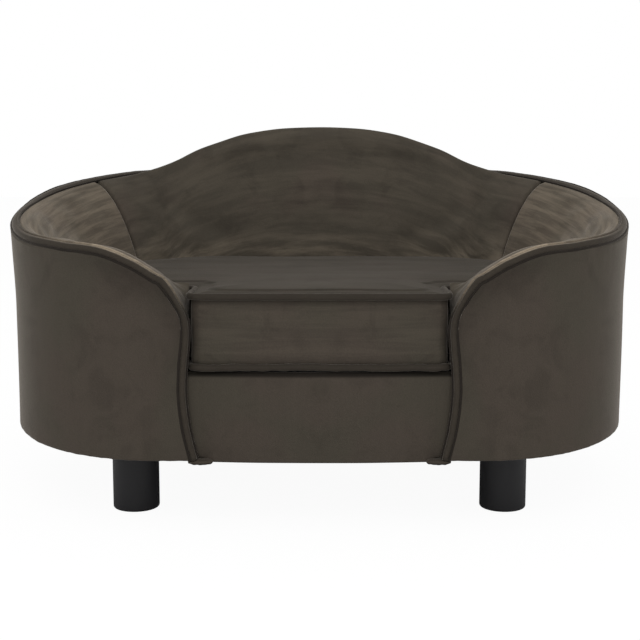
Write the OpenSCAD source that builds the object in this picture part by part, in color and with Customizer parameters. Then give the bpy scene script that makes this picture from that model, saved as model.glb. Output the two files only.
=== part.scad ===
// Oval sofa bed for a small dog: an upholstered tub with a camel back and a loose seat cushion.
// The origin is on the floor under the middle of the sofa, +Z is up and the front faces -Y.

/* [Overall size] */
// Width over the rim
overall_w = 673; // [633:5:733]
// Depth over the rim
overall_d = 490; // [460:5:540]
// Height to the top of the back
overall_h = 390; // [370:5:430]
// Height of the underside above the floor
clearance_h = 70; // [50:1:90]
// Width of the straight part of an arm's front, from the opening to where the plan starts to curve
arm_face_w = 27; // [22:1:34]

/* [Rim] */
// Rim height where the front edge of an arm starts to fall
tip_h = 241; // [232:1:250]
// Rim height at the front of the arms
arm_h = 268; // [255:1:280]
// Rim height at the shoulders beside the hump
shoulder_h = 331; // [310:1:345]
// Width of the band on the rim
band_w = 15; // [12:0.5:18]
// Width of the band on the vertical front edges
front_band_w = 12; // [10:0.5:14]
// Crown of the band
band_crown = 5; // [3:0.5:7]
// Diameter of the outer piping
outer_piping_d = 5.6; // [4:0.2:7]
// Diameter of the inner piping
inner_piping_d = 4.4; // [3:0.2:6]

/* [Walls] */
// Height at which the outer wall starts to flare
flare_from_h = 204; // [185:1:215]
// How much the flare widens each side
flare_side = 3.5; // [1:0.5:7]
// How much the flare widens the front and the back
flare_front = 1.5; // [0.5:0.5:3]
// Thickness of an arm at the seat
arm_t = 80.5; // [72:0.5:86]
// Thickness of the back at the seat
back_t = 73; // [66:1:78]
// How far inside the opening's side the rounding of the seat well starts
well_corner_in = 20; // [14:1:28]
// Height at which the slope of the padding meets the seat well
well_top_h = 224; // [218:1:228]
// Width of the front opening between the arms
opening_w = 256; // [236:2:276]
// Thickness of the covering fabric
fabric_t = 1.5; // [1:0.1:2]
// Thickness of the bent shells
shell_t = 4; // [3:0.5:5]

/* [Frame] */
// Thickness of the base board
base_t = 12; // [9:1:15]
// Thickness of the deck board
deck_t = 9; // [6:1:12]
// Thickness of the front rail board
rail_t = 12; // [9:1:15]
// Thickness of the bearers under the deck
bearer_t = 15; // [12:1:18]
// Distance of each cross bearer from the feet beside it, towards the middle
bearer_in = 47.5; // [39:0.5:55]
// Thickness of each post, measured inwards from the shell
post_t = 18; // [14:1:22]
// Width of each post
post_w = 20; // [16:1:24]
// Height of the deck board's top
deck_h = 153; // [148:1:156]
// Width of the hem turned under the base
hem_w = 22; // [16:1:28]

/* [Feet] */
// Diameter of a foot
foot_d = 47; // [38:1:55]
// Rounding of the bottom edge of a foot
foot_round = 5.5; // [2:0.5:8]
// Distance of the feet's centres from the sides
foot_in_x = 149; // [141:0.5:161]
// Distance of the feet's centres from the front and the back
foot_in_y = 95; // [87:1:105]
// Diameter of the threaded bolt in a foot
bolt_d = 8; // [6:1:10]
// Depth of the bolt in a foot
bolt_in_foot = 38; // [25:1:42]
// Diameter of the barrel of a tee nut
tee_barrel_d = 11; // [10:0.5:13]
// Diameter of the flange of a tee nut
tee_flange_d = 22; // [18:1:26]
// Thickness of the flange of a tee nut
tee_flange_t = 1.5; // [1:0.1:2]

/* [Cushion] */
// Height of the cushion at its edge
cushion_h = 71.5; // [66:0.5:74]
// Crown of the cushion's top
cushion_crown = 8; // [4:0.5:12]
// Gap between the cushion and the seat well
cushion_gap = 1.5; // [1:0.1:3]
// Distance that the cushion's front stands behind the front of the arms
cushion_setback = 5; // [3:0.5:8]
// Rounding of the cushion's front corners
cushion_round = 31; // [30:1:38]
// Diameter of the top piping
top_piping_d = 6.6; // [5:0.2:7.4]
// Diameter of the bottom piping
bottom_piping_d = 7.2; // [5:0.2:8]

/* [Front rail] */
// Thickness of the rail's foam at its ends
rail_pad_t = 2.5; // [2:0.5:4]
// How far the rail bulges in front of its ends
rail_bulge = 6; // [3:0.5:7]

/* [Zip] */
// Length of the zip
zip_l = 208; // [190:1:212]
// Width of the zip tape
zip_tape_w = 24; // [20:1:28]
// Width of the slot in the boxing over the zip
zip_slot_w = 16; // [14:1:18]
// Depth of the zip tape below the face of the boxing
zip_depth = 5.8; // [5.4:0.1:7]
// Length of the slider
slider_l = 12; // [10:0.5:14]
// Width of the slider
slider_w = 9; // [8:0.5:11]
// Length of the pull
pull_l = 20; // [14:1:22]

/* [Hidden] */

// Small gap between layers that lie on each other
lay = 0.3;
// Overrun of every cut
over = 1;
half_w = overall_w / 2;
half_d = overall_d / 2;
open_x = opening_w / 2;
straight_x = open_x + arm_face_w;
// Each corner of the plan is a quarter ellipse at the front and another at the back
corner_w = half_w - straight_x;
outer_piping_r = outer_piping_d / 2;
inner_piping_r = inner_piping_d / 2;
// How far the cover stands inside the outermost line of the piping
lip = 1.4;
// Lean of the band: 0 faces forward, 90 faces up
band_lean_front = 33;
band_lean_back = 95;
crest_h = overall_h - band_crown * sin(band_lean_back) - band_w / 2 * cos(band_lean_back);
well_w = half_w - arm_t;
well_d = half_d - back_t;
well_straight_x = open_x - well_corner_in;
well_corner_w = well_w - well_straight_x;
foot_x = half_w - foot_in_x;
foot_y = half_d - foot_in_y;

// Levels, from the floor up
hem_top = clearance_h + fabric_t;
base_top = hem_top + base_t;
tee_top = base_top + tee_flange_t;
foam_bottom = tee_top + over;
deck_under = deck_h - deck_t;
deck_cover_t = 1.2;
seat_h = deck_h + deck_cover_t + lay;
dust_t = 0.8;
staple_t = 0.6;

// Layers of the wall, as distances inwards from the face of the outer cover
shell_r0 = fabric_t + lay;
shell_r1 = shell_r0 + shell_t;
foam_r = shell_r1 + lay;
shell_drop = 4;
skin_back = fabric_t + lay;

// Angle of the corner, out of 180 degrees from front to back, at which the back padding starts
seam_angle = 132;
seam_half_angle = 0.1;
seam_room_angle = 2;
corner_steps = 24;
back_steps = 6;
flare_power = 1.35;

// The rim along the left half: place (0 to 1 round the corner, 1 to 2 along the back) and level
// (0 tip_h, 1 arm_h, 2 shoulder_h, 3 crest_h)
rim_shares = [
    [0, 0], [0.04, 0.485], [0.095, 0.89], [0.167, 1], [0.3, 1.09], [0.45, 1.31], [0.52, 1.44],
    [0.575, 1.58], [0.654, 1.755], [0.757, 1.905], [0.846, 2.005], [0.913, 2.09], [0.96, 2.28], [1, 2.49],
    [1.17, 2.69], [1.33, 2.84], [1.5, 2.91], [1.67, 2.98], [2, 3]
];
// The front edge of an arm: across from open_x to straight_x, and up from the underside to tip_h
edge_shares = [
    [-0.185, 0], [0.07, 0.175], [0.2, 0.363], [0.167, 0.526], [0.07, 0.69], [0.11, 0.795], [0.32, 0.889],
    [0.785, 0.98], [1, 1]
];
// Stations of the walls along the straight front of an arm, in the same shares
front_shares = [[0, 0.76], [0.08, 0.83], [0.28, 0.889], [0.77, 0.98]];
// Heights of the flare between flare_from_h and the rim
flare_shares = [0, 0.35, 0.7, 1];
// Highest place of the flare's start between the underside and the rim
flare_start_share = 0.85;
// Handles of the padding's slope: along and down from the rim, and back and up from the well
slope_rim_share = [0.38, 0.05];
slope_well_share = [0.22, 0.5];
// Rings of the crowned panels, as shares of their outline
ring_shares = [0.85, 0.6, 0.3];
// The band's section: across its width, and up its crown
band_shares = [[0, 0], [0.25, 0.75], [0.5, 1], [0.75, 0.75], [1, 0]];

function mix(a, b, t) = a + (b - a) * t;
function flat(lists) = [for (list = lists) for (item = list) item];
function reversed(list) = [for (i = [len(list) - 1:-1:0]) list[i]];
function unit(v) = v / norm(v);
function soft(t) = let (c = min(max(t, 0), 1)) c * c * (3 - 2 * c);

// Smooth curve through a table of [x, y] rows: a cubic with the tangents of its neighbours
function row_slope(rows, i) =
    let (a = max(i - 1, 0), b = min(i + 1, len(rows) - 1))
    (rows[b][1] - rows[a][1]) / (rows[b][0] - rows[a][0]);
function row_at(rows, x, i = 0) = i < len(rows) - 2 && x > rows[i + 1][0] ? row_at(rows, x, i + 1) : i;
function smooth_at(rows, x) =
    let (
        i = row_at(rows, x),
        span = rows[i + 1][0] - rows[i][0],
        t = (x - rows[i][0]) / span,
        a = rows[i][1],
        b = rows[i + 1][1]
    )
    (2 * t ^ 3 - 3 * t ^ 2 + 1) * a + (t ^ 3 - 2 * t ^ 2 + t) * span * row_slope(rows, i)
        + (3 * t ^ 2 - 2 * t ^ 3) * b + (t ^ 3 - t ^ 2) * span * row_slope(rows, i + 1);

function level_h(level) =
    level < 1 ? mix(tip_h, arm_h, level)
    : level < 2 ? mix(arm_h, shoulder_h, level - 1)
    : mix(shoulder_h, crest_h, level - 2);
function rim_h(place) = level_h(smooth_at(rim_shares, place));
function band_lean(place) = mix(band_lean_front, band_lean_back, soft((place - 0.3) / 0.4));

// A station of the rim is [x, y, inward x, inward y, rim height, place]
function front_stop(share) =
    [-mix(open_x + skin_back, straight_x, share[0]), -half_d, 0, 1, mix(clearance_h, tip_h, share[1]), 0];
function corner_stop(turn) =
    let (n = unit([sin(turn) / corner_w, cos(turn) / half_d]))
    [-straight_x - corner_w * sin(turn), -half_d * cos(turn), n[0], n[1], rim_h(turn / 180), turn / 180];
function back_stop(share) = [-straight_x * (1 - share), half_d, 0, -1, rim_h(1 + share), 1 + share];
function mirrored(stops) = [for (s = reversed(stops)) [-s[0], s[1], -s[2], s[3], s[4], s[5]]];

front_stops = [for (share = front_shares) front_stop(share)];
even_turns = [for (i = [0:corner_steps]) 180 * i / corner_steps];
arm_turns = concat(
    [for (turn = even_turns) if (turn < seam_angle - seam_room_angle) turn],
    [seam_angle - seam_half_angle]
);
back_turns = concat(
    [seam_angle + seam_half_angle],
    [for (turn = even_turns) if (turn > seam_angle + seam_room_angle) turn]
);
back_stops = [for (i = [1:back_steps]) back_stop(i / back_steps)];
arm_stops = concat(front_stops, [for (turn = arm_turns) corner_stop(turn)]);
back_left_stops = concat([for (turn = back_turns) corner_stop(turn)], back_stops);
left_stops = concat(arm_stops, back_left_stops);
// The last station stands in the middle of the back
function both_sides(stops) = concat(stops, mirrored([for (i = [0:len(stops) - 2]) stops[i]]));
all_stops = both_sides(left_stops);
back_all_stops = both_sides(back_left_stops);

// A point of a wall's section: r inwards from the outermost line, z up
function spot(s, p) = [s[0] + s[2] * p[0], s[1] + s[3] * p[0], p[1]];
function ring(s, section) = [for (p = section) spot(s, p)];
// How much longer the sloping rim is than its plan, on the steeper side of station i
steep_max = 2.5;
function stretch(a, b) =
    let (run = max(norm([b[0] - a[0], b[1] - a[1]]), lay))
    sqrt(1 + ((b[4] - a[4]) / run) ^ 2);
function steep(stops, i) =
    let (before = stops[max(i - 1, 0)], after = stops[min(i + 1, len(stops) - 1)])
    min(max(stretch(before, stops[i]), stretch(stops[i], after)), steep_max);

// The face of the outer cover, flared above flare_from_h and from lower down where the rim is low
function flare_start(s) = min(flare_from_h, mix(clearance_h, s[4], flare_start_share));
function wall_r(s, z) =
    let (t = min(max((z - flare_start(s)) / (s[4] - flare_start(s)), 0), 1))
    lip + (flare_side * abs(s[2]) + flare_front * abs(s[3])) * (1 - t ^ flare_power);
// The wall's line from bottom to top, set in by r
function wall_line(s, r, bottom, top, low_shares = [0]) =
    let (knee = min(flare_start(s), top - over))
    concat(
        [for (share = low_shares) let (z = mix(bottom, knee, share)) [wall_r(s, z) + r, z]],
        [for (share = flare_shares) let (z = mix(knee, top, share)) [wall_r(s, z) + r, z]]
    );

// Distance along the station's inward line to the seat well
function well_r(s) =
    abs(s[0]) <= well_straight_x ? back_t
    : let (
        cx = (s[0] < 0 ? -1 : 1) * well_straight_x,
        px = (s[0] - cx) / well_corner_w,
        py = s[1] / well_d,
        dx = s[2] / well_corner_w,
        dy = s[3] / well_d,
        a = dx ^ 2 + dy ^ 2,
        b = px * dx + py * dy,
        c = px ^ 2 + py ^ 2 - 1
    )
    (-b - sqrt(max(b ^ 2 - a * c, 0))) / a;

// Inner seam of the band in the section plane
function seam_spot(s) =
    let (lean = band_lean(s[5]))
    [outer_piping_r + band_w * sin(lean), s[4] + (s[5] == 0 ? front_band_w : band_w) * cos(lean)];

// The visible slope of the padding from the inner seam to the well, set back by depth below its face
slope_steps = 7;
function slope(s, depth, start = inner_piping_r + lay) =
    let (
        q = seam_spot(s),
        w = [well_r(s), well_top_h],
        run = w[0] - q[0],
        fall = q[1] - w[1],
        b = q + [slope_rim_share[0] * run, -slope_rim_share[1] * fall],
        c = w + [-slope_well_share[0] * run, slope_well_share[1] * fall],
        first = start / (3 * norm(b - q))
    )
    [for (i = [0:slope_steps])
        let (
            t = mix(first, 1, i / slope_steps),
            p = (1 - t) ^ 3 * q + 3 * t * (1 - t) ^ 2 * b + 3 * t ^ 2 * (1 - t) * c + t ^ 3 * w,
            d = (1 - t) ^ 2 * (b - q) + 2 * t * (1 - t) * (c - b) + t ^ 2 * (w - c),
            n = i == slope_steps ? unit([1, 0.25]) : unit([-d[1], d[0]])
        )
        p - n * depth];

// Closed skin over a row of rings; a sheet's ring runs out and back, so its ends close as strips
module skin(rings, sheet = false, loop = false) {
    n = len(rings[0]);
    m = len(rings);
    sides = [for (i = [0:m - (loop ? 1 : 2)]) for (j = [0:n - 1])
        let (k = (j + 1) % n, i2 = (i + 1) % m)
        // the inner half of a sheet is split the other way, so that layers stay parallel
        each sheet && j >= n / 2
            ? [[i * n + j, i2 * n + j, i * n + k], [i2 * n + j, i2 * n + k, i * n + k]]
            : [[i * n + j, i2 * n + j, i2 * n + k], [i * n + j, i2 * n + k, i * n + k]]];
    strips = [for (j = [0:n / 2 - 2])
        each [[j, j + 1, n - 2 - j], [j, n - 2 - j, n - 1 - j]]];
    first_cap = sheet ? strips : [[for (j = [0:n - 1]) j]];
    last_cap = [for (face = first_cap) [for (j = reversed(face)) (m - 1) * n + j]];
    polyhedron(flat(rings), loop ? sides : concat(sides, first_cap, last_cap), convexity = 10);
}

// The right side is the left one mirrored
module right_side() {
    mirror([1, 0, 0]) children();
}

// Shells and posts of the frame
function shell_section(s, k) =
    let (low = hem_top + lay, top = s[4] - shell_drop * k)
    concat(wall_line(s, shell_r0, low, top), reversed(wall_line(s, shell_r1, low, top)));

module shell(stops) {
    skin([for (i = [0:len(stops) - 1])
        ring(stops[i], shell_section(stops[i], steep(stops, i)))], sheet = true);
}

// The shell of an arm starts behind the roll on the front edge
shell_stops = [for (i = [2:len(arm_stops) - 1]) arm_stops[i]];
module left_shell() color("burlywood") shell(shell_stops);
module right_shell() color("burlywood") right_side() shell(shell_stops);
module back_shell() color("burlywood") shell(back_all_stops);

front_post_x = open_x + skin_back;
front_post_h = mix(clearance_h, tip_h, front_shares[0][1]) - shell_drop - over;
back_post_s = corner_stop(seam_angle);
back_post_h = back_post_s[4] - back_t / 2;
front_post_r = wall_r(front_stops[0], clearance_h) + foam_r + lay;
back_post_r = wall_r(back_post_s, clearance_h) + foam_r + 2 * lay;

// With room round it a post is the cut in the foam, open towards the shell
module front_post(room = 0) {
    out = room > 0 ? over : 0;
    translate([-front_post_x - post_w - room, -half_d + front_post_r - out, base_top - room])
        cube([post_w + room + out, post_t + room + out, front_post_h - base_top + 2 * room]);
}

module back_post(room = 0) {
    out = room > 0 ? over : 0;
    translate([back_post_s[0], back_post_s[1], base_top - room])
        rotate(atan2(back_post_s[3], back_post_s[2]))
            translate([back_post_r - out, -post_w / 2 - room, 0])
                cube([post_t + room + out, post_w + 2 * room, back_post_h - base_top + 2 * room]);
}

module front_post_left() color("peru") front_post();
module front_post_right() color("peru") right_side() front_post();
module back_post_left() color("peru") back_post();
module back_post_right() color("peru") right_side() back_post();

// Foam of the arms and the back
function foam_section(s, k) =
    let (
        lean = band_lean(s[5]),
        q = seam_spot(s),
        room = inner_piping_r + 2 * lay,
        drop = cos(lean) < sin(band_lean_front) ? k * room : room,
        under = [cos(lean), -sin(lean)] * drop,
        corner = q + under,
        top_r = wall_r(s, s[4]) + foam_r,
        top_z = corner[1] - (corner[0] - top_r) * cos(lean) / sin(lean)
    )
    concat(
        wall_line(s, foam_r, foam_bottom, top_z),
        slope(s, skin_back, drop),
        [[well_r(s) - skin_back, foam_bottom]]
    );

module foam(stops) {
    skin([for (i = [0:len(stops) - 1]) ring(stops[i], foam_section(stops[i], steep(stops, i)))]);
}

module arm_foam() {
    difference() {
        foam(arm_stops);
        front_post(lay);
        back_post(lay);
    }
}

module left_arm_foam() color("khaki") arm_foam();
module right_arm_foam() color("khaki") right_side() arm_foam();
module back_foam() color("khaki") difference() {
    foam(back_all_stops);
    back_post(lay);
    right_side() back_post(lay);
}

// Outer cover with its hem turned under the base
cover_low_shares = [0, 0.13, 0.27, 0.41, 0.55, 0.68, 0.8];
function edge_x(z) = lookup(z, [for (step = left_edge) [step[0][2], -step[0][0]]]);
function cover_section(s, k) =
    let (
        top = s[4] - (outer_piping_r + 2 * lay) * k,
        r = wall_r(s, clearance_h) + hem_w
    )
    concat(
        [[r, clearance_h]],
        wall_line(s, 0, clearance_h, top, cover_low_shares),
        reversed(wall_line(s, fabric_t, hem_top, top, cover_low_shares)),
        [[r, hem_top]]
    );
// The first and last rings lean with the front edges, beside the piping
function leaning(points, side) =
    [for (p = points) [side * (edge_x(p[2]) + outer_piping_r + 2 * lay), p[1], p[2]]];

module outer_cover() color("dimgray") {
    last = len(all_stops) - 1;
    skin([for (i = [0:last]) if (i != 1 && i != last - 1)
        let (points = ring(all_stops[i], cover_section(all_stops[i], steep(all_stops, i))))
        i == 0 ? leaning(points, -1) : i == last ? leaning(points, 1) : points], sheet = true);
}

// Inner covers: a sheet over the slope and down the wall of the seat well
function inner_cover_section(s) =
    concat(
        slope(s, 0),
        [[well_r(s), foam_bottom], [well_r(s) - fabric_t, foam_bottom]],
        reversed(slope(s, fabric_t))
    );

module inner_cover(stops) {
    skin([for (s = stops) ring(s, inner_cover_section(s))], sheet = true);
}

// Sheet that closes the padding on the side of the opening
arm_end_stop = concat([-open_x - fabric_t], [for (i = [1:5]) front_stops[0][i]]);
module arm_end() {
    translate([-open_x - fabric_t, -half_d, 0])
        rotate([90, 0, 90]) linear_extrude(fabric_t)
            polygon(concat(
                wall_line(arm_end_stop, foam_r + fabric_t, foam_bottom, arm_end_stop[4]),
                slope(arm_end_stop, 0),
                [[well_r(arm_end_stop), foam_bottom]]
            ));
}

module arm_inner_cover() {
    arm_end();
    inner_cover(concat([arm_end_stop], arm_stops));
}

module left_inner_cover() color("dimgray") arm_inner_cover();
module right_inner_cover() color("dimgray") right_side() arm_inner_cover();
module back_inner_cover() color("dimgray") inner_cover(back_all_stops);

// Path of the rim, up the front edge of the left arm and round to the right one
edge_steps = 14;
edge_index = [for (i = [0:len(edge_shares) - 1]) i];
edge_across = [for (i = edge_index) [i, edge_shares[i][0]]];
edge_up = [for (i = edge_index) [i, edge_shares[i][1]]];
// Each step of the path is [point, inward direction, lean, band width]
left_edge = [for (k = [0:edge_steps - 1])
    let (
        i = (len(edge_shares) - 1) * k / edge_steps,
        up = smooth_at(edge_up, i),
        z = mix(clearance_h, tip_h, up)
    )
    [[-mix(open_x, straight_x, smooth_at(edge_across, i)),
            -half_d + wall_r([0, 0, 0, 1, tip_h], z) - lip + outer_piping_r, z],
        [0, 1, 0], band_lean_front, mix(front_band_w, band_w, up ^ 3)]];
left_rim = [for (s = left_stops) if (s[5] > 0 || s[0] <= -straight_x)
    [spot(s, [outer_piping_r, s[4]]), [s[2], s[3], 0], band_lean(s[5]), band_w]];
left_path = concat(left_edge, left_rim);
rim_path = concat(left_path, [for (i = [len(left_path) - 2:-1:0])
    let (step = left_path[i])
    [[-step[0][0], step[0][1], step[0][2]], [-step[1][0], step[1][1], 0], step[2], step[3]]]);
path_ends = [0, len(rim_path) - 1];

function path_along(i) = unit(rim_path[min(i + 1, path_ends[1])][0] - rim_path[max(i - 1, 0)][0]);
// Directions across the band and out of its crown
function band_frame(i) =
    let (
        inward = rim_path[i][1],
        beyond = unit(cross(inward, path_along(i))),
        lean = rim_path[i][2]
    )
    [cos(lean) * beyond + sin(lean) * inward, sin(lean) * beyond - cos(lean) * inward];
function seam_point(i, share) = rim_path[i][0] + band_frame(i)[0] * rim_path[i][3] * share;

function band_ring(i, drop, from_a, to_a) =
    let (f = band_frame(i), w = rim_path[i][3])
    [for (p = band_shares) rim_path[i][0] + f[0] * mix(from_a, w - to_a, p[0])
        + f[1] * (band_crown * p[1] - drop)];

module rim_band() color("dimgray") {
    a = outer_piping_r + lay;
    b = inner_piping_r + lay;
    skin([for (i = [0:path_ends[1]])
        concat(band_ring(i, 0, a, b), reversed(band_ring(i, fabric_t, a, b)))], sheet = true);
}

module rim_padding() color("khaki") {
    a = outer_piping_r + 2 * lay;
    b = inner_piping_r + 2 * lay;
    skin([for (i = [0:path_ends[1]]) band_ring(i, fabric_t + lay, a, b)]);
}

module tube(points, frames, r, sides, loop = false) {
    skin([for (i = [0:len(points) - 1])
        [for (k = [0:sides - 1])
            let (turn = -360 * k / sides)
            points[i] + r * (cos(turn) * frames[i][0] + sin(turn) * frames[i][1])]], loop = loop);
}

module rim_piping(share, r) {
    tube(
        [for (i = [0:path_ends[1]]) seam_point(i, share)],
        [for (i = [0:path_ends[1]]) band_frame(i)], r, 8);
}

module outer_piping() color("black") rim_piping(0, outer_piping_r);
module inner_piping() color("black") rim_piping(1, inner_piping_r);

// Plan outlines of the seat well with its tongue between the arms, set in by an inset
tongue_steps = 6;
oval_steps = 12;
function half_outline(inset, front, round_r, cut) =
    let (
        a = well_w - inset,
        b = well_d - inset,
        c = well_corner_w - inset,
        tx = open_x - inset,
        r = max(round_r - inset, over),
        last = 180 - asin((tx + cut - well_straight_x) / c),
        meet_y = b * cos(180 - asin((tx - well_straight_x) / c)) - cut
    )
    concat(
        [[-well_straight_x, b]],
        [for (i = [1:oval_steps])
            let (turn = last * i / oval_steps) [-well_straight_x - c * sin(turn), b * cos(turn)]],
        [[-tx, meet_y]],
        [for (i = [0:tongue_steps])
            let (turn = 90 * i / tongue_steps) [-tx + r - r * cos(turn), front + r - r * sin(turn)]]
    );
function t_outline(inset, front, round_r, cut) =
    let (left = half_outline(inset, front, round_r, cut))
    concat(left, [for (p = reversed(left)) [-p[0], p[1]]]);

// Base board and dust cover share the oval of the underside
function base_outline(inset) =
    [for (s = all_stops) if (s[5] > 0 || abs(s[0]) >= straight_x)
        let (p = spot(s, [wall_r(s, clearance_h) + inset, 0])) [p[0], p[1]]];

// The ends of the rail's face lie just behind the roll on the front edges
rail_end_y = -half_d + flare_front + outer_piping_r + front_band_w * sin(band_lean_front)
    + inner_piping_r + lay;
rail_front_y = rail_end_y + fabric_t + rail_pad_t + 2 * lay;
rail_side_x = edge_x(clearance_h) - lay;
deck_outline = t_outline(4 * lay, rail_front_y, cushion_round, 2 * lay);
foot_places = [for (x = [-1, 1]) for (y = [-1, 1]) [x * foot_x, y * foot_y]];

module at_feet() {
    for (p = foot_places) translate([p[0], p[1], 0]) children();
}

screw_d = 4;
screw_head_d = 8;
screw_head_t = 2.4;
screw_l = 30;
screw_fit = 0.05;
screw_rows_share = [-0.8, 0, 0.8];
bearer_x = foot_x - bearer_in;
bearer_l = 2 * well_d * cos(asin((bearer_x + bearer_t - well_straight_x) / well_corner_w)) - 4 * bearer_t;
screw_places = [for (x = [-1, 1]) for (share = screw_rows_share) [x * bearer_x, share * bearer_l / 2]];

module screw(room = 0) {
    cylinder(h = screw_head_t, d1 = screw_d + 2 * room, d2 = screw_head_d + 2 * room, $fn = 32);
    translate([0, 0, screw_head_t - screw_l - room])
        cylinder(h = screw_l, d = screw_d + 2 * room, $fn = 32);
    if (room > 0) translate([0, 0, screw_head_t])
        cylinder(h = over, d = screw_head_d + 2 * room, $fn = 32);
}

module screws_down(room = 0) {
    for (p = screw_places) translate([p[0], p[1], deck_h - screw_head_t]) screw(room);
}

module screws_up(room = 0) {
    for (p = screw_places) translate([p[0], p[1], hem_top + screw_head_t]) mirror([0, 0, 1]) screw(room);
}

module base_board() color("burlywood") {
    difference() {
        translate([0, 0, hem_top]) linear_extrude(base_t) difference() {
            polygon(base_outline(shell_r1 + lay));
            translate([-open_x, -half_d - over]) square([opening_w, rail_front_y + half_d + over]);
        }
        at_feet() translate([0, 0, hem_top - over])
            cylinder(h = base_t + 2 * over, d = tee_barrel_d + 2 * screw_fit, $fn = 48);
        screws_up(screw_fit);
    }
}

module deck_board() color("burlywood") {
    difference() {
        translate([0, 0, deck_under]) linear_extrude(deck_t) polygon(deck_outline);
        screws_down(screw_fit);
    }
}

module front_rail_board() color("peru") {
    translate([-open_x + lay, rail_front_y, base_top])
        cube([opening_w - 2 * lay, rail_t, deck_under - base_top]);
}

module cross_bearer() {
    difference() {
        translate([bearer_x - bearer_t / 2, -bearer_l / 2, base_top])
            cube([bearer_t, bearer_l, deck_under - base_top]);
        screws_down(screw_fit);
        screws_up(screw_fit);
    }
}

module cross_bearer_left() color("peru") right_side() cross_bearer();
module cross_bearer_right() color("peru") cross_bearer();

module back_bearer() color("peru") {
    translate([-well_straight_x, well_d - 2 * bearer_t, base_top])
        cube([2 * well_straight_x, bearer_t, deck_under - base_top]);
}

// Front rail: a plan outline whose face bulges between its ends
rail_steps = 12;
rail_straight_x = open_x - 1.5 * rail_t;
function rail_face(inset) =
    [for (i = [0:rail_steps])
        let (share = 2 * i / rail_steps - 1)
        [share * (rail_straight_x - inset),
            rail_end_y + inset - rail_bulge * (1 - share ^ 2)]];
rail_outline = concat(
    rail_face(0),
    [[rail_side_x, rail_end_y], [rail_side_x, rail_front_y - lay],
        [-rail_side_x, rail_front_y - lay], [-rail_side_x, rail_end_y]]
);

rail_top = deck_h - lay;
module rail_foam() color("khaki") {
    translate([0, 0, hem_top + lay]) linear_extrude(rail_top - fabric_t - hem_top - 2 * lay) polygon(concat(
        rail_face(skin_back), [[rail_straight_x - skin_back, rail_front_y - lay],
            [-rail_straight_x + skin_back, rail_front_y - lay]]));
}

module rail_cover() color("dimgray") {
    difference() {
        translate([0, 0, clearance_h]) linear_extrude(rail_top - clearance_h) polygon(rail_outline);
        translate([0, 0, hem_top]) linear_extrude(rail_top - fabric_t - hem_top) polygon(concat(
            rail_face(fabric_t), [[rail_straight_x - fabric_t, rail_front_y + over],
                [-rail_straight_x + fabric_t, rail_front_y + over]]));
    }
}

module deck_cover() color("darkgray") {
    translate([0, 0, deck_h]) linear_extrude(deck_cover_t)
        polygon(deck_outline);
}

// Dust cover: pierced where the feet meet the base board
dust_inset = hem_w / 2;
module dust_cover() color("black") {
    translate([0, 0, clearance_h - dust_t]) linear_extrude(dust_t) difference() {
        intersection() {
            polygon(base_outline(dust_inset));
            translate([-half_w, -half_d + hem_w]) square([overall_w, overall_d]);
        }
        for (p = foot_places) translate([p[0], p[1]]) circle(d = foot_d + 2 * over, $fn = 64);
    }
}

staple_l = 10;
staple_w = 1.2;
staple_steps = 3;
module dust_cover_staples() color("silver") {
    inset = dust_inset + 2 * staple_w;
    for (i = [0:staple_steps:len(all_stops) - 1])
        let (s = all_stops[i])
        if (s[5] > 0)
            translate(spot(s, [wall_r(s, clearance_h) + inset, clearance_h - dust_t - staple_t]))
                rotate(atan2(s[3], s[2]) + 90)
                    translate([-staple_l / 2, -staple_w / 2, 0]) cube([staple_l, staple_w, staple_t]);
}

module deck_screws() color("silver") screws_down();
module base_screws() color("silver") screws_up();

// Feet, their bolts and the tee nuts in the base board
bolt_fit = 0.1;
module foot() {
    r = foot_d / 2;
    difference() {
        rotate_extrude($fn = 96) {
            translate([0, foot_round]) square([r, hem_top - foot_round]);
            square([r - foot_round, foot_round]);
            intersection() {
                translate([r - foot_round, foot_round]) circle(foot_round, $fn = 48);
                translate([r - foot_round, 0]) square(foot_round);
            }
        }
        translate([0, 0, hem_top - bolt_in_foot - over])
            cylinder(h = bolt_in_foot + 2 * over, d = bolt_d + 2 * bolt_fit, $fn = 48);
    }
}

module foot_at(i) {
    color("#1f1b20") translate([foot_places[i][0], foot_places[i][1], 0]) foot();
}

module foot_front_left() foot_at(0);
module foot_back_left() foot_at(1);
module foot_front_right() foot_at(2);
module foot_back_right() foot_at(3);

module leg_bolts() color("silver") {
    at_feet() translate([0, 0, hem_top - bolt_in_foot])
        cylinder(h = bolt_in_foot + base_t, d = bolt_d, $fn = 48);
}

module tee_nuts() color("silver") {
    at_feet() difference() {
        union() {
            translate([0, 0, base_top]) cylinder(h = tee_flange_t, d = tee_flange_d, $fn = 48);
            translate([0, 0, hem_top + over]) cylinder(h = base_t - over, d = tee_barrel_d, $fn = 48);
        }
        translate([0, 0, hem_top]) cylinder(h = base_t + 2 * over, d = bolt_d + 2 * bolt_fit, $fn = 48);
    }
}

// Cushion: everything is set in from its outermost line, which clears the seat well
cushion_front_y = -half_d + cushion_setback;
cushion_top = seat_h + cushion_h;
top_piping_r = top_piping_d / 2;
bottom_piping_r = bottom_piping_d / 2;
boxing_inset = 2.5;
core_inset = boxing_inset + fabric_t + lay;
panel_inset = top_piping_d + lay;
floor_inset = bottom_piping_d + lay;
panel_h = cushion_top - top_piping_r;
cushion_mid_y = (well_d + cushion_front_y) / 2;

cushion_cut = 3;
function cushion_outline(inset) =
    t_outline(cushion_gap + inset, cushion_front_y + inset, cushion_round, cushion_cut);
function cushion_ring(inset, z, share = 1) =
    [for (p = cushion_outline(inset))
        [p[0] * share, cushion_mid_y + (p[1] - cushion_mid_y) * share, z + cushion_crown * (1 - share ^ 2)]];

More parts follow.
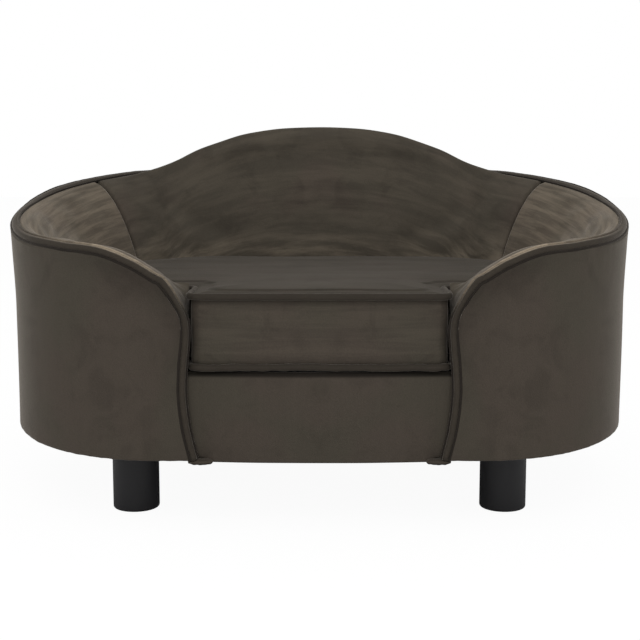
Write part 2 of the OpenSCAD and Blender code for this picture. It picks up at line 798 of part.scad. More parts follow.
zip_z = seat_h + cushion_h / 2;
zip_y = well_d - cushion_gap;
tape_t = 0.8;
coil_t = 1.4;
coil_w = 2.2;
coil_gap = 1.4;
wing_t = 1.2;
stop_l = 3;
back_wing_depth = zip_depth + coil_t + tape_t + lay;
zip_recess = back_wing_depth + wing_t / 2 + lay;
module cushion_core() color("khaki") {
    difference() {
        skin(concat(
            [cushion_ring(floor_inset + lay, seat_h + skin_back)],
            [cushion_ring(floor_inset + lay, seat_h + bottom_piping_d + lay)],
            [cushion_ring(core_inset, seat_h + bottom_piping_d + 2 * lay)],
            [cushion_ring(core_inset, cushion_top - top_piping_d - lay)],
            [cushion_ring(panel_inset + lay, panel_h - skin_back)],
            [for (share = ring_shares) cushion_ring(panel_inset, panel_h - skin_back, share)]
        ));
        translate([-zip_l / 2 - lay, zip_y - zip_recess, zip_z - zip_tape_w / 2 - lay])
            cube([zip_l + 2 * lay, zip_recess, zip_tape_w + 2 * lay]);
    }
}

module cushion_top_panel() color("dimgray") {
    inner = [for (share = concat([1], ring_shares)) cushion_ring(panel_inset, panel_h - fabric_t, share)];
    outer = [for (share = concat([1], ring_shares)) cushion_ring(panel_inset, panel_h, share)];
    skin(concat(reversed(inner), outer));
}

module cushion_bottom_panel() color("dimgray") {
    translate([0, 0, seat_h]) linear_extrude(fabric_t) polygon(cushion_outline(floor_inset));
}

module cushion_boxing() color("dimgray") {
    low = seat_h + bottom_piping_d + lay;
    difference() {
        translate([0, 0, low]) linear_extrude(cushion_top - top_piping_d - lay - low) difference() {
            polygon(cushion_outline(boxing_inset));
            polygon(cushion_outline(boxing_inset + fabric_t));
        }
        translate([-zip_l / 2, zip_y - boxing_inset - fabric_t - over, zip_z - zip_slot_w / 2])
            cube([zip_l, boxing_inset + fabric_t + 2 * over, zip_slot_w]);
    }
}

module cushion_piping(r, z) {
    line = cushion_outline(r);
    n = len(line);
    tube(
        [for (p = line) [p[0], p[1], z]],
        [for (i = [0:n - 1])
            let (d = unit(line[(i + 1) % n] - line[(i + n - 1) % n])) [[-d[1], d[0], 0], [0, 0, -1]]],
        r, 8, loop = true);
}

module cushion_top_piping() color("black") cushion_piping(top_piping_r, cushion_top - top_piping_r);
module cushion_bottom_piping() color("black") cushion_piping(bottom_piping_r, seat_h + bottom_piping_r);

// Zip in the back of the boxing: a box lies between two depths below the outermost line
module zip_box(x0, x1, depth0, depth1, z0, z1) {
    translate([x0, zip_y - depth1, zip_z + z0]) cube([x1 - x0, depth1 - depth0, z1 - z0]);
}

module both_rows() {
    children();
    translate([0, 0, 2 * zip_z]) mirror([0, 0, 1]) children();
}

module zip_tape() color("dimgray") both_rows() {
    zip_box(-zip_l / 2, zip_l / 2, zip_depth + coil_t, zip_depth + coil_t + tape_t,
        coil_gap / 2, zip_tape_w / 2);
}

slider_end = slider_l / 2;
closed_x = zip_l / 2 - stop_l - slider_l - over;
module zip_coil() color("black") both_rows() {
    zip_box(-zip_l / 2 + stop_l, zip_l / 2 - stop_l, zip_depth, zip_depth + coil_t,
        coil_gap / 2, coil_gap / 2 + coil_w);
}

module zip_stops() color("silver") both_rows() {
    for (side = [0, 1]) mirror([side, 0, 0])
        zip_box(zip_l / 2 - stop_l + lay, zip_l / 2 - lay, zip_depth, zip_depth + coil_t,
            coil_gap / 2, coil_gap / 2 + coil_w);
}

module zip_slider() color("silver") translate([closed_x, 0, 0]) {
    top0 = zip_depth - lay - wing_t;
    back1 = back_wing_depth + wing_t / 2;
    zip_box(-slider_end, slider_end, top0, top0 + wing_t, -slider_w / 2, slider_w / 2);
    zip_box(-slider_end, slider_end, back_wing_depth, back1, -slider_w / 2, slider_w / 2);
    zip_box(-wing_t, wing_t, top0, back1, -coil_gap / 2 + lay, coil_gap / 2 - lay);
    zip_box(-pull_l, 0, top0 - wing_t, top0, -slider_w / 4, slider_w / 4);
}

base_board();
deck_board();
front_rail_board();
cross_bearer_left();
cross_bearer_right();
back_bearer();
front_post_left();
front_post_right();
back_post_left();
back_post_right();
left_shell();
right_shell();
back_shell();
left_arm_foam();
right_arm_foam();
back_foam();
rim_padding();
rail_foam();
outer_cover();
left_inner_cover();
right_inner_cover();
back_inner_cover();
rim_band();
outer_piping();
inner_piping();
rail_cover();
deck_cover();
dust_cover();
dust_cover_staples();
deck_screws();
base_screws();
foot_front_left();
foot_front_right();
foot_back_left();
foot_back_right();
leg_bolts();
tee_nuts();
cushion_core();
cushion_top_panel();
cushion_bottom_panel();
cushion_boxing();
cushion_top_piping();
cushion_bottom_piping();
zip_tape();
zip_coil();
zip_stops();
zip_slider();
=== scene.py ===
# Sofa bed for a small dog: the looks of its upholstery, boards, feet and zip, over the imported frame.
# Lengths in the tables are millimetres; meshes are made in metres in the frame's own axes.
import math

import bmesh
import bpy
import numpy as np
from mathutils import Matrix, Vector, noise
from mathutils.bvhtree import BVHTree


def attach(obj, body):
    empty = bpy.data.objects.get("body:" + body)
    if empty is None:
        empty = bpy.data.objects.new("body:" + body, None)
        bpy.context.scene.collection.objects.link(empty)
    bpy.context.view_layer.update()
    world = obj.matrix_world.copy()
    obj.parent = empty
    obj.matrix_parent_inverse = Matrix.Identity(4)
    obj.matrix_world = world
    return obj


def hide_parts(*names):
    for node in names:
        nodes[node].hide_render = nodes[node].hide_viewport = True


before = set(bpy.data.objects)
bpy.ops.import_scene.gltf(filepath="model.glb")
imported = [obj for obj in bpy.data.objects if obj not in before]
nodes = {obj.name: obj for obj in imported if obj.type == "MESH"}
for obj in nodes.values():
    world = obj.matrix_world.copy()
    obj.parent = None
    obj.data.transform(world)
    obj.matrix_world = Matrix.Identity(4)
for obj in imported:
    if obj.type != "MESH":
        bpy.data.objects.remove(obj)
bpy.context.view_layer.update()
scene = bpy.context.scene
mm = 0.001

# numbers that several pieces share
tub = dict(
    width=673, depth=490, height=390, clearance=70, faceWidth=27,
    tipHeight=241, armHeight=268, shoulderHeight=331,
    bandWidth=15, frontBandWidth=12, bandCrown=5, outerPiping=5.6, innerPiping=4.4,
    rollFront=8.8, rollArm=9.2, shoulderLift=2.2, outerCord=1.5, innerCord=1.3,
    bendPinch=1.9, bendAt=220, bendReach=13, wellLift=9, wellLiftTo=172, wellLiftBlend=22,
    flareFrom=204, flareSide=3.5, flareFront=1.5, flarePower=1.35,
    armThick=80.5, backThick=73, wellCornerIn=20, wellTop=224, opening=256,
    fabric=1.5, lay=0.3, lip=1.4, leanFront=33, leanBack=95, hem=22, seamTurn=132,
)
halfW = tub["width"] / 2
halfD = tub["depth"] / 2
openX = tub["opening"] / 2
straightX = openX + tub["faceWidth"]
cornerWidth = halfW - straightX
outerR = tub["outerPiping"] / 2
innerR = tub["innerPiping"] / 2
crestHeight = (tub["height"] - tub["bandCrown"] * math.sin(math.radians(tub["leanBack"]))
               - tub["bandWidth"] / 2 * math.cos(math.radians(tub["leanBack"])))
wellW = halfW - tub["armThick"]
wellD = halfD - tub["backThick"]
wellStraight = openX - tub["wellCornerIn"]
wellCorner = wellW - wellStraight
deckHeight = 153
seatHeight = deckHeight + 1.5
foamBottom = 86
# rim height along the left half, as in the frame: place round the rim and level of height
rimShares = [(0, 0), (0.04, 0.485), (0.095, 0.89), (0.167, 1), (0.3, 1.09), (0.45, 1.31), (0.52, 1.44),
             (0.575, 1.58), (0.654, 1.755), (0.757, 1.905), (0.846, 2.005), (0.913, 2.09), (0.96, 2.28),
             (1, 2.49), (1.17, 2.69), (1.33, 2.84), (1.5, 2.91), (1.67, 2.98), (2, 3)]
# front edge of an arm: share across from the opening, share up from the underside
edgeShares = [(-0.185, 0), (0.07, 0.175), (0.2, 0.363), (0.167, 0.526), (0.07, 0.69), (0.11, 0.795),
              (0.37, 0.889), (0.785, 0.98), (1, 1)]
frontShares = [(0, 0.76), (0.08, 0.83), (0.33, 0.889), (0.77, 0.98), (1, 1)]


def mix(a, b, t):
    return a + (b - a) * t


def soft(t):
    t = min(max(t, 0), 1)
    return t * t * (3 - 2 * t)


def smoothAt(rows, x):
    # smooth curve through rows of (x, value)
    i = 0
    while i < len(rows) - 2 and x > rows[i + 1][0]:
        i += 1

    def tangent(k):
        a, b = rows[max(k - 1, 0)], rows[min(k + 1, len(rows) - 1)]
        return (b[1] - a[1]) / (b[0] - a[0])
    span = rows[i + 1][0] - rows[i][0]
    t = (x - rows[i][0]) / span
    return ((2 * t ** 3 - 3 * t ** 2 + 1) * rows[i][1] + (t ** 3 - 2 * t ** 2 + t) * span * tangent(i)
            + (3 * t ** 2 - 2 * t ** 3) * rows[i + 1][1] + (t ** 3 - t ** 2) * span * tangent(i + 1))


def rimHeight(place):
    # the flatter roll of the shoulders sits a little higher on its shell than the frame's band
    lift = tub["shoulderLift"] * soft((place - 0.35) / 0.2) * soft((0.95 - place) / 0.12)
    level = smoothAt(rimShares, place)
    if level < 1:
        return lift + mix(tub["tipHeight"], tub["armHeight"], level)
    if level < 2:
        return lift + mix(tub["armHeight"], tub["shoulderHeight"], level - 1)
    return lift + mix(tub["shoulderHeight"], crestHeight, level - 2)


def bendPinch(height):
    # how much the roll narrows where it turns from the arm's front edge onto its top
    return tub["bendPinch"] * math.exp(-((height - tub["bendAt"]) / tub["bendReach"]) ** 2)


def rollWidth(place):
    # the roll is narrow along the arms' fronts and widens toward the back
    return mix(tub["rollArm"], tub["bandWidth"], soft((place - 0.3) / 0.25))


def wellLevel(s):
    # the padding meets the seat well higher beside the cushion's tongue
    share = soft((tub["wellLiftTo"] - abs(s[0])) / tub["wellLiftBlend"])
    return tub["wellTop"] + tub["wellLift"] * share * (s[1] < 0)


def bandLean(place):
    return math.radians(mix(tub["leanFront"], tub["leanBack"], soft((place - 0.3) / 0.4)))


# a station of the rim is (x, y, inward x, inward y, rim height, place); its place is 0 where the left
# arm's front edge ends, 1 where the back begins and 2 in the middle of the back
def cornerStop(turn):
    a = math.radians(turn)
    n = np.array([math.sin(a) / cornerWidth, math.cos(a) / halfD])
    n /= np.linalg.norm(n)
    return (-straightX - cornerWidth * math.sin(a), -halfD * math.cos(a), n[0], n[1],
            rimHeight(turn / 180), turn / 180)


def backStop(share):
    return (-straightX * (1 - share), halfD, 0, -1, rimHeight(1 + share), 1 + share)


def edgeAt(shares, place):
    # shares across and up at a place counted in rows of one of the edge tables
    return [smoothAt([(i, row[k]) for i, row in enumerate(shares)], place) for k in (0, 1)]


def frontStop(share):
    across, up = edgeAt(frontShares, share * (len(frontShares) - 1))
    x = mix(openX + tub["fabric"] + tub["lay"], straightX, across)
    return (-x, -halfD, 0, 1, mix(tub["clearance"], tub["tipHeight"], up), 0)


def roundStops(cornerSteps, backSteps, fromTurn=0):
    # stations round the left corner, from a turn of it on, to the middle of the back
    stops = [cornerStop(mix(fromTurn, 180, i / cornerSteps)) for i in range(cornerSteps + 1)]
    return stops + [backStop(i / backSteps) for i in range(1, backSteps + 1)]


def bothSides(stops):
    # the left half's stations and their mirror images
    return stops + [(-s[0], s[1], -s[2], s[3], s[4], s[5]) for s in reversed(stops[:-1])]


def spot(s, r, z):
    # the point at a height, r inward of a station's outline
    return np.array([s[0] + s[2] * r, s[1] + s[3] * r, z])


def flareStart(s):
    return min(tub["flareFrom"], mix(tub["clearance"], s[4], 0.85))


def wallR(s, z):
    # how far the outer wall lies inward of the outline at a height
    t = min(max((z - flareStart(s)) / (s[4] - flareStart(s)), 0), 1)
    flare = tub["flareSide"] * abs(s[2]) + tub["flareFront"] * abs(s[3])
    return tub["lip"] + flare * (1 - t ** tub["flarePower"])


def wellR(s):
    # how far the wall of the seat well lies inward of the outline
    if abs(s[0]) <= wellStraight:
        return tub["backThick"]
    cx = math.copysign(wellStraight, s[0])
    p = ((s[0] - cx) / wellCorner, s[1] / wellD)
    d = (s[2] / wellCorner, s[3] / wellD)
    a = d[0] ** 2 + d[1] ** 2
    b = p[0] * d[0] + p[1] * d[1]
    c = p[0] ** 2 + p[1] ** 2 - 1
    return (-b - math.sqrt(max(b * b - a * c, 0))) / a


def seamSpot(s):
    # inner seam of the roll, as r and z
    lean = bandLean(s[5])
    width = rollWidth(s[5]) - bendPinch(s[4])
    return np.array([outerR + width * math.sin(lean), s[4] + width * math.cos(lean)])


def slope(s, steps, start):
    # points (r, z) of the padding's face from the inner seam down to the seat well
    q = seamSpot(s)
    w = np.array([wellR(s), wellLevel(s)])
    run, fall = w[0] - q[0], q[1] - w[1]
    b = q + [0.38 * run, -0.05 * fall]
    c = w + [-0.22 * run, 0.5 * fall]
    first = start / (3 * np.linalg.norm(b - q))
    ts = [mix(first, 1, i / steps) for i in range(steps + 1)]
    return [(1 - t) ** 3 * q + 3 * t * (1 - t) ** 2 * b + 3 * t * t * (1 - t) * c + t ** 3 * w for t in ts]


def rimPath(edgeSteps, cornerSteps, backSteps):
    # up the front edge of the left arm, round the rim and down on the right; a step is its place,
    # the way inward, the lean of the roll and its width
    steps = []
    for k in range(edgeSteps):
        across, up = edgeAt(edgeShares, (len(edgeShares) - 1) * k / edgeSteps)
        z = mix(tub["clearance"], tub["tipHeight"], up)
        y = -halfD + wallR((0, 0, 0, 1, tub["tipHeight"], 0), z) - tub["lip"] + outerR
        width = mix(tub["rollFront"], tub["rollArm"], max(up, 0) ** 3) - bendPinch(z)
        steps.append((np.array([-mix(openX, straightX, across), y, z]), np.array([0, 1, 0]),
                      math.radians(tub["leanFront"]), width))
    for s in roundStops(cornerSteps, backSteps):
        steps.append((spot(s, outerR, s[4]), np.array([s[2], s[3], 0]), bandLean(s[5]),
                      rollWidth(s[5]) - bendPinch(s[4])))
    flip = np.array([-1, 1, 1])
    return steps + [(p * flip, n * flip, lean, w) for p, n, lean, w in reversed(steps[:-1])]


edgeSteps, cornerSteps, backSteps = 70, 110, 32
path = rimPath(edgeSteps, cornerSteps, backSteps)


def bandFrame(i):
    # directions across the band and out of its crown at a step of the path
    along = path[min(i + 1, len(path) - 1)][0] - path[max(i - 1, 0)][0]
    inward, lean = path[i][1], path[i][2]
    beyond = np.cross(inward, along)
    beyond /= np.linalg.norm(beyond)
    return (math.cos(lean) * beyond + math.sin(lean) * inward,
            math.sin(lean) * beyond - math.cos(lean) * inward)


def edgeX(z):
    # half the width of the opening at a height of the front edge's piping
    edge = [p[0] for p in path[:edgeSteps]]
    return float(np.interp(z, [p[2] for p in edge], [-p[0] for p in edge]))


def placeOf(i):
    # place round the rim of a step of the path, below 0 on the front edges
    return (min(i, len(path) - 1 - i) - edgeSteps) / cornerSteps


def shine(place):
    # strength of the painted highlight where the pile of the arms' edges catches the light, along the rim
    # from the front edge on
    return float(np.interp(place, (-0.22, -0.12, 0, 0.08, 0.16, 0.3, 0.45), (0, 0.5, 0.7, 1, 0.5, 0.15, 0)))


def ripple(p, size, seed=0.0):
    # smooth noise from -1 to 1 with features of about size mm
    return noise.noise(Vector((p[0] / size + seed, p[1] / size - seed, p[2] / size + 2 * seed)))


def quarter(steps):
    # angles round a quarter of a circle
    return [math.pi / 2 * i / steps for i in range(steps + 1)]


# meshes
def makeMesh(name, points, faces, material=None, unit=mm, edges=()):
    mesh = bpy.data.meshes.new(name)
    mesh.from_pydata([tuple(float(c) * unit for c in p) for p in points], edges, faces)
    mesh.update()
    mesh.shade_smooth()
    piece = bpy.data.objects.new(name, mesh)
    scene.collection.objects.link(piece)
    if material:
        mesh.materials.append(material)
    return piece


def gridFaces(rows, columns, wrapRows=False, wrapColumns=False):
    # quads between rows of points
    faces = []
    for i in range(rows if wrapRows else rows - 1):
        for j in range(columns if wrapColumns else columns - 1):
            i2, j2 = (i + 1) % rows, (j + 1) % columns
            faces.append((i * columns + j, i2 * columns + j, i2 * columns + j2, i * columns + j2))
    return faces

def fan(start, count, middle):
    # triangles between a ring of points and its middle point
    return [(start + j, start + (j + 1) % count, middle) for j in range(count)]


def turnOut(piece):
    # faces of a closed form point outwards
    work = bmesh.new()
    work.from_mesh(piece.data)
    bmesh.ops.remove_doubles(work, verts=work.verts, dist=1e-6)
    bmesh.ops.recalc_face_normals(work, faces=work.faces)
    work.to_mesh(piece.data)
    work.free()
    piece.data.update()
    return piece


def closedForm(name, rings, material, paintedLevels=None):
    # rings of equal length joined into a closed body with its two ends capped
    n = len(rings[0])
    points = [p for ring in rings for p in ring]
    faces = gridFaces(len(rings), n, wrapColumns=True)
    for i in (0, len(rings) - 1):
        points.append(np.mean(rings[i], axis=0))
        faces += fan(i * n, n, len(points) - 1)
    piece = makeMesh(name, points, faces, material)
    if paintedLevels:
        paint(piece, paintedLevels + [paintedLevels[0], paintedLevels[-1]])
    return turnOut(piece)


def coordsOf(piece, what="co"):
    values = np.empty(len(piece.data.vertices) * 3, np.float32)
    piece.data.vertices.foreach_get(what, values)
    return values.reshape(-1, 3).astype(float)


def normalsOf(piece):
    return coordsOf(piece, "normal")


def setCoords(piece, co):
    piece.data.vertices.foreach_set("co", co.astype(np.float32).ravel())
    piece.data.update()


def evaluatedMesh(piece, name):
    # the piece's mesh as its modifiers leave it
    depsgraph = bpy.context.evaluated_depsgraph_get()
    mesh = bpy.data.meshes.new_from_object(piece.evaluated_get(depsgraph), depsgraph=depsgraph)
    mesh.name = name
    return mesh


def settle(piece, kind, **settings):
    # the piece keeps the result of a modifier
    modifier = piece.modifiers.new(kind.lower(), kind)
    for key, value in settings.items():
        setattr(modifier, key, value)
    mesh = evaluatedMesh(piece, piece.name)
    piece.modifiers.clear()
    piece.data = mesh
    return piece


def paint(piece, values):
    # painted light at each vertex: painted highlight up to 1, painted shade down to -1
    layer = piece.data.attributes.get("paintedLight") or piece.data.attributes.new("paintedLight", "FLOAT", "POINT")
    layer.data.foreach_set("value", np.asarray(values, np.float32))


def layPile(piece, values):
    # metres along the rim and down from it, which the brush strokes of a pad follow
    layer = piece.data.attributes.new("lie", "FLOAT_VECTOR", "POINT")
    layer.data.foreach_set("vector", np.asarray(values, np.float32).ravel())


def mirroredCopy(piece, name):
    # the right arm's piece from the left one, with its painted light and the lie of its pile
    faces = [tuple(reversed(f.vertices)) for f in piece.data.polygons]
    twin = makeMesh(name, coordsOf(piece) * [-1, 1, 1], faces, piece.data.materials[0], unit=1)
    paint(twin, [point.value for point in piece.data.attributes["paintedLight"].data])
    layPile(twin, [point.vector[:] for point in piece.data.attributes["lie"].data])
    return twin


def nearest(co, line):
    # number of the line's nearest point to each of the points, and the distance to it
    steps, gaps = [], []
    for start in range(0, len(co), 4000):
        away = np.sqrt(((co[start:start + 4000, None, :] - line[None]) ** 2).sum(2))
        steps.append(away.argmin(1))
        gaps.append(away.min(1))
    return np.concatenate(steps), np.concatenate(gaps)


def nearestStep(co):
    # the same for the steps of the rim's path, in millimetres
    return nearest(co / mm, np.array([p[0] for p in path]))


def dress(piece, slotName, body, *replaced):
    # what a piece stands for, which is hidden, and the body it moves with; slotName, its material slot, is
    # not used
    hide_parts(*replaced)
    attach(piece, body)
    return piece


# simulated stuffing
def inflate(piece, stuffing, held=None):
    # the cover is blown up from inside, with the held vertices kept, and no point moves beyond the cap
    rest = coordsOf(piece)
    cloth = piece.modifiers.new("stuffing", "CLOTH")
    settings = cloth.settings
    settings.quality = 4
    settings.mass = 0.2
    settings.use_pressure = True
    settings.uniform_pressure_force = stuffing["pressure"]
    settings.shrink_min = -stuffing["spare"]
    settings.bending_stiffness = stuffing["stiffness"]
    settings.effector_weights.gravity = 0
    if held is not None:
        group = piece.vertex_groups.new(name="held")
        for i, weight in enumerate(held):
            if weight > 0:
                group.add([i], float(weight), "REPLACE")
        settings.vertex_group_mass = "held"
    for i in range(1, stuffing["frames"] + 1):
        scene.frame_set(i)
    blown = coordsOf(piece.evaluated_get(bpy.context.evaluated_depsgraph_get()))
    piece.modifiers.remove(cloth)
    piece.vertex_groups.clear()
    scene.frame_set(1)
    move = blown - rest
    length = np.linalg.norm(move, axis=1, keepdims=True)
    return rest, rest + move * np.minimum(1, stuffing["cap"] * mm / np.maximum(length, 1e-9))


# materials
def linear(hexText):
    # linear colour of an sRGB hex value
    parts = [int(hexText[i:i + 2], 16) / 255 for i in (0, 2, 4)]
    return [c / 12.92 if c <= 0.04045 else ((c + 0.055) / 1.055) ** 2.4 for c in parts] + [1]

def addNode(tree, kind, inputs=None, **settings):
    # an input gets a value, a socket, or a node that stands for its first output
    node = tree.nodes.new(kind)
    for key, value in settings.items():
        setattr(node, key, value)
    for key, value in (inputs or {}).items():
        if isinstance(value, bpy.types.Node):
            value = value.outputs[0]
        if isinstance(value, bpy.types.NodeSocket):
            tree.links.new(value, node.inputs[key])
        else:
            node.inputs[key].default_value = value
    return node


def emptyTree(owner):
    owner.use_nodes = True
    owner.node_tree.nodes.clear()
    return owner.node_tree


# polyester plush velvet: a short dense pile that lies in brushed clouds of two close tones, matte
# head-on and light at grazing angles; the sizes are those of the marks on the real velvet, only the
# pile is drawn at 1.3 mm because real fibres of 0.1 mm would not show
# roll, piping and seam are darker tones of the same velvet: painted shade on the roll and in the dark lines
# along the pipings
velvet = dict(olive="464139", brown="48413A", dark="2E2A25", light="A39582", roll="37322C", piping="231F1C",
              seam="37322C", sheenTint="E2D9CE", cloud=110, blotch=36, strokeLong=110, strokeShort=8,
              pile=1.3, sheen=0.42, sheenRoughness=0.3, roughness=0.92, specular=0.1,
              warmSpot=(0.205, -0.225, 0.15), warmReach=0.1, warmLift=0.22, reliefDepth=0.0004)


def plushVelvet(name, stroke, strokes, base=None, follow=False, wide=1.0, least=0.12, sheen=velvet["sheen"]):
    # stroke: axis the pile is brushed along; strokes: how much the brush marks show; follow: the marks
    # follow the rim; wide: their width in stroke widths; least: lightness left between two marks
    material = bpy.data.materials.new(name)
    tree = emptyTree(material)
    place = addNode(tree, "ShaderNodeTexCoord").outputs["Object"]
    parts = addNode(tree, "ShaderNodeSeparateXYZ", {0: place})
    side = addNode(tree, "ShaderNodeMath", {0: parts}, operation="ABSOLUTE")
    both = addNode(tree, "ShaderNodeCombineXYZ", {0: side, 1: parts.outputs[1], 2: parts.outputs[2]})
    # hand-sized clouds of olive and brown, the largest in the middle of each arm's front
    cloud = addNode(tree, "ShaderNodeTexNoise", {"Vector": both, "Scale": 1000 / velvet["cloud"], "Detail": 2,
                                                 "Roughness": 0.5, "Distortion": 0.3})
    away = addNode(tree, "ShaderNodeVectorMath", {0: both, 1: velvet["warmSpot"]}, operation="DISTANCE")
    lift = addNode(tree, "ShaderNodeMapRange",
                   {"Value": away.outputs["Value"], "From Max": velvet["warmReach"],
                    "To Min": velvet["warmLift"], "To Max": 0}, interpolation_type="SMOOTHSTEP")
    warm = addNode(tree, "ShaderNodeMath", {0: cloud, 1: lift}, operation="ADD")
    cloudShare = addNode(tree, "ShaderNodeMapRange", {"Value": warm, "From Min": 0.46, "From Max": 0.64},
                         interpolation_type="SMOOTHSTEP")
    tone = addNode(tree, "ShaderNodeMix", {0: cloudShare, 6: linear(base or velvet["olive"]),
                                           7: linear(base or velvet["brown"])}, data_type="RGBA")
    # palm-sized marks where the pile is pressed the other way
    blotch = addNode(tree, "ShaderNodeTexNoise", {"Vector": both, "Scale": 1000 / velvet["blotch"],
                                                  "Detail": 3, "Roughness": 0.55, "Distortion": 0.8})
    blotchShare = addNode(tree, "ShaderNodeMapRange",
                          {"Value": blotch, "From Min": 0.3, "From Max": 0.55,
                           "To Min": 0.22 + 0.3 * strokes, "To Max": 0}, interpolation_type="SMOOTHSTEP")
    pressed = addNode(tree, "ShaderNodeMix", {0: blotchShare, 6: tone.outputs[2], 7: linear(velvet["dark"])},
                      data_type="RGBA")
    # long brush strokes, with a painted highlight laid along them where the painted light is above 0
    scale = [1000 / (velvet["strokeLong"] if axis == stroke else velvet["strokeShort"] * wide)
             for axis in "xyz"]
    lie = addNode(tree, "ShaderNodeAttribute", attribute_name="lie").outputs["Vector"] if follow else both
    lines = addNode(tree, "ShaderNodeMapping", {"Vector": lie, "Scale": scale})
    brush = addNode(tree, "ShaderNodeTexNoise", {"Vector": lines, "Scale": 1, "Detail": 4, "Roughness": 0.65,
                                                 "Distortion": 0.25 if follow else 0.9})
    paintedLight = addNode(tree, "ShaderNodeAttribute", attribute_name="paintedLight").outputs["Fac"]
    brushShare = addNode(tree, "ShaderNodeMapRange",
                         {"Value": brush, "From Min": 0.36, "From Max": 0.66, "To Min": least, "To Max": 1},
                         interpolation_type="SMOOTHSTEP")
    highlightShare = addNode(tree, "ShaderNodeMath", {0: paintedLight, 1: 0.0}, operation="MAXIMUM")
    paintedHighlight = addNode(tree, "ShaderNodeMath", {0: highlightShare, 1: brushShare}, operation="MULTIPLY")
    light = addNode(tree, "ShaderNodeMath", {0: brushShare, 1: 0.09 * strokes, 2: paintedHighlight},
                    operation="MULTIPLY_ADD")
    brushed = addNode(tree, "ShaderNodeMix", {0: light, 6: pressed.outputs[2], 7: linear(velvet["light"])},
                      data_type="RGBA")
    # the pile itself, with painted shade where the painted light is below 0
    pile = addNode(tree, "ShaderNodeTexNoise", {"Vector": place, "Scale": 1000 / velvet["pile"], "Detail": 2,
                                                "Roughness": 0.7})
    pileShade = addNode(tree, "ShaderNodeMapRange", {"Value": pile, "From Min": 0.2, "From Max": 0.8,
                                                     "To Min": 0.88, "To Max": 1.12})
    paintedShade = addNode(tree, "ShaderNodeMath", {0: paintedLight, 1: 0.0}, operation="MINIMUM")
    shade = addNode(tree, "ShaderNodeMath", {0: paintedShade, 1: pileShade, 2: pileShade},
                    operation="MULTIPLY_ADD")
    colour = addNode(tree, "ShaderNodeVectorMath", {0: brushed.outputs[2], "Scale": shade}, operation="SCALE")
    relief = addNode(tree, "ShaderNodeMath", {0: brush, 1: 1.5 * strokes, 2: pile}, operation="MULTIPLY_ADD")
    bump = addNode(tree, "ShaderNodeBump", {"Height": relief, "Strength": 0.4,
                                            "Distance": velvet["reliefDepth"]})
    shader = addNode(tree, "ShaderNodeBsdfPrincipled", {
        "Base Color": colour, "Normal": bump, "Roughness": velvet["roughness"],
        "Specular IOR Level": velvet["specular"], "Sheen Weight": sheen,
        "Sheen Roughness": velvet["sheenRoughness"], "Sheen Tint": linear(velvet["sheenTint"])})
    addNode(tree, "ShaderNodeOutputMaterial", {"Surface": shader})
    return material


velvetUpright = plushVelvet("plush velvet, brushed upright", "z", 0.08)
velvetAlong = plushVelvet("plush velvet, brushed along", "x", 0.5)
velvetArm = plushVelvet("plush velvet, brushed along the arm", "x", 1.0, follow=True, least=0.4)
velvetBack = plushVelvet("plush velvet, smoothed by hand", "x", 0.4, follow=True, wide=2.2)
velvetSeat = plushVelvet("plush velvet, seat top", "x", 0.7, sheen=0.24)
velvetRoll = plushVelvet("plush velvet on the roll", "y", 0.3, velvet["roll"], least=0.6)
velvetPiping = plushVelvet("plush velvet over piping cord", "x", 0.2, velvet["piping"], least=0.6)
velvetSeam = plushVelvet("plush velvet over cushion piping", "x", 0.2, velvet["seam"])


def finish(name, colourA, colourB, size, stretch, roughness, metal=0.0, relief=0.1, depth=0.0003, ior=None):
    # a surface of two close tones mixed by noise of a size in mm, with a fine relief of the same pattern
    material = bpy.data.materials.new(name)
    tree = emptyTree(material)
    place = addNode(tree, "ShaderNodeTexCoord").outputs["Object"]
    scale = [1000 / (size * s) for s in stretch]
    lines = addNode(tree, "ShaderNodeMapping", {"Vector": place, "Scale": scale})
    grain = addNode(tree, "ShaderNodeTexNoise", {"Vector": lines, "Scale": 1, "Detail": 4, "Roughness": 0.6,
                                                 "Distortion": 0.4})
    share = addNode(tree, "ShaderNodeMapRange", {"Value": grain, "From Min": 0.35, "From Max": 0.65},
                    interpolation_type="SMOOTHSTEP")
    tone = addNode(tree, "ShaderNodeMix", {0: share, 6: linear(colourA), 7: linear(colourB)},
                   data_type="RGBA")
    bump = addNode(tree, "ShaderNodeBump", {"Height": grain, "Strength": relief, "Distance": depth})
    gloss = addNode(tree, "ShaderNodeMapRange", {"Value": grain, "From Min": 0.3, "From Max": 0.7,
                                                 "To Min": roughness - 0.06,
                                                 "To Max": min(roughness + 0.06, 1)})
    shader = addNode(tree, "ShaderNodeBsdfPrincipled", {"Base Color": tone.outputs[2], "Normal": bump,
                                                        "Roughness": gloss, "Metallic": metal})
    if ior:
        shader.inputs["IOR"].default_value = ior
    addNode(tree, "ShaderNodeOutputMaterial", {"Surface": shader})
    return material


# birch plywood: rotary-cut face with long faint grain
plywood = finish("birch plywood, sanded", "C9A878", "B08A58", 6, (14, 1, 1), 0.6, relief=0.15)
# hardboard: brown pressed fibre, bent round the tub
hardboard = finish("hardboard, pressed fibre", "6E4C30", "5A3C26", 2.5, (1, 1, 1), 0.75, relief=0.3)
# sawn pine battens with straight grain
pine = finish("pine, sawn", "D8B98A", "BE975F", 5, (1, 12, 1), 0.65, relief=0.2)
# moulded polypropylene: near-black with a fine spark-eroded grain that keeps highlights broad
footPlastic = finish("polypropylene, moulded fine grain", "0D0B0E", "110F13", 0.9, (1, 1, 1), 0.5,
                     relief=0.25, depth=0.0002, ior=1.49)
# zinc-plated steel: bright, slightly cloudy
zinc = finish("steel, zinc plated", "B9BCC0", "A4A8AD", 8, (1, 1, 1), 0.34, metal=1.0, relief=0.05)
# spun-bonded polypropylene lining: thin black sheet with pressed points
spunbond = finish("spun-bonded lining", "1B1B1C", "252527", 2.2, (1, 1, 1), 0.82, relief=0.6, depth=0.0005)
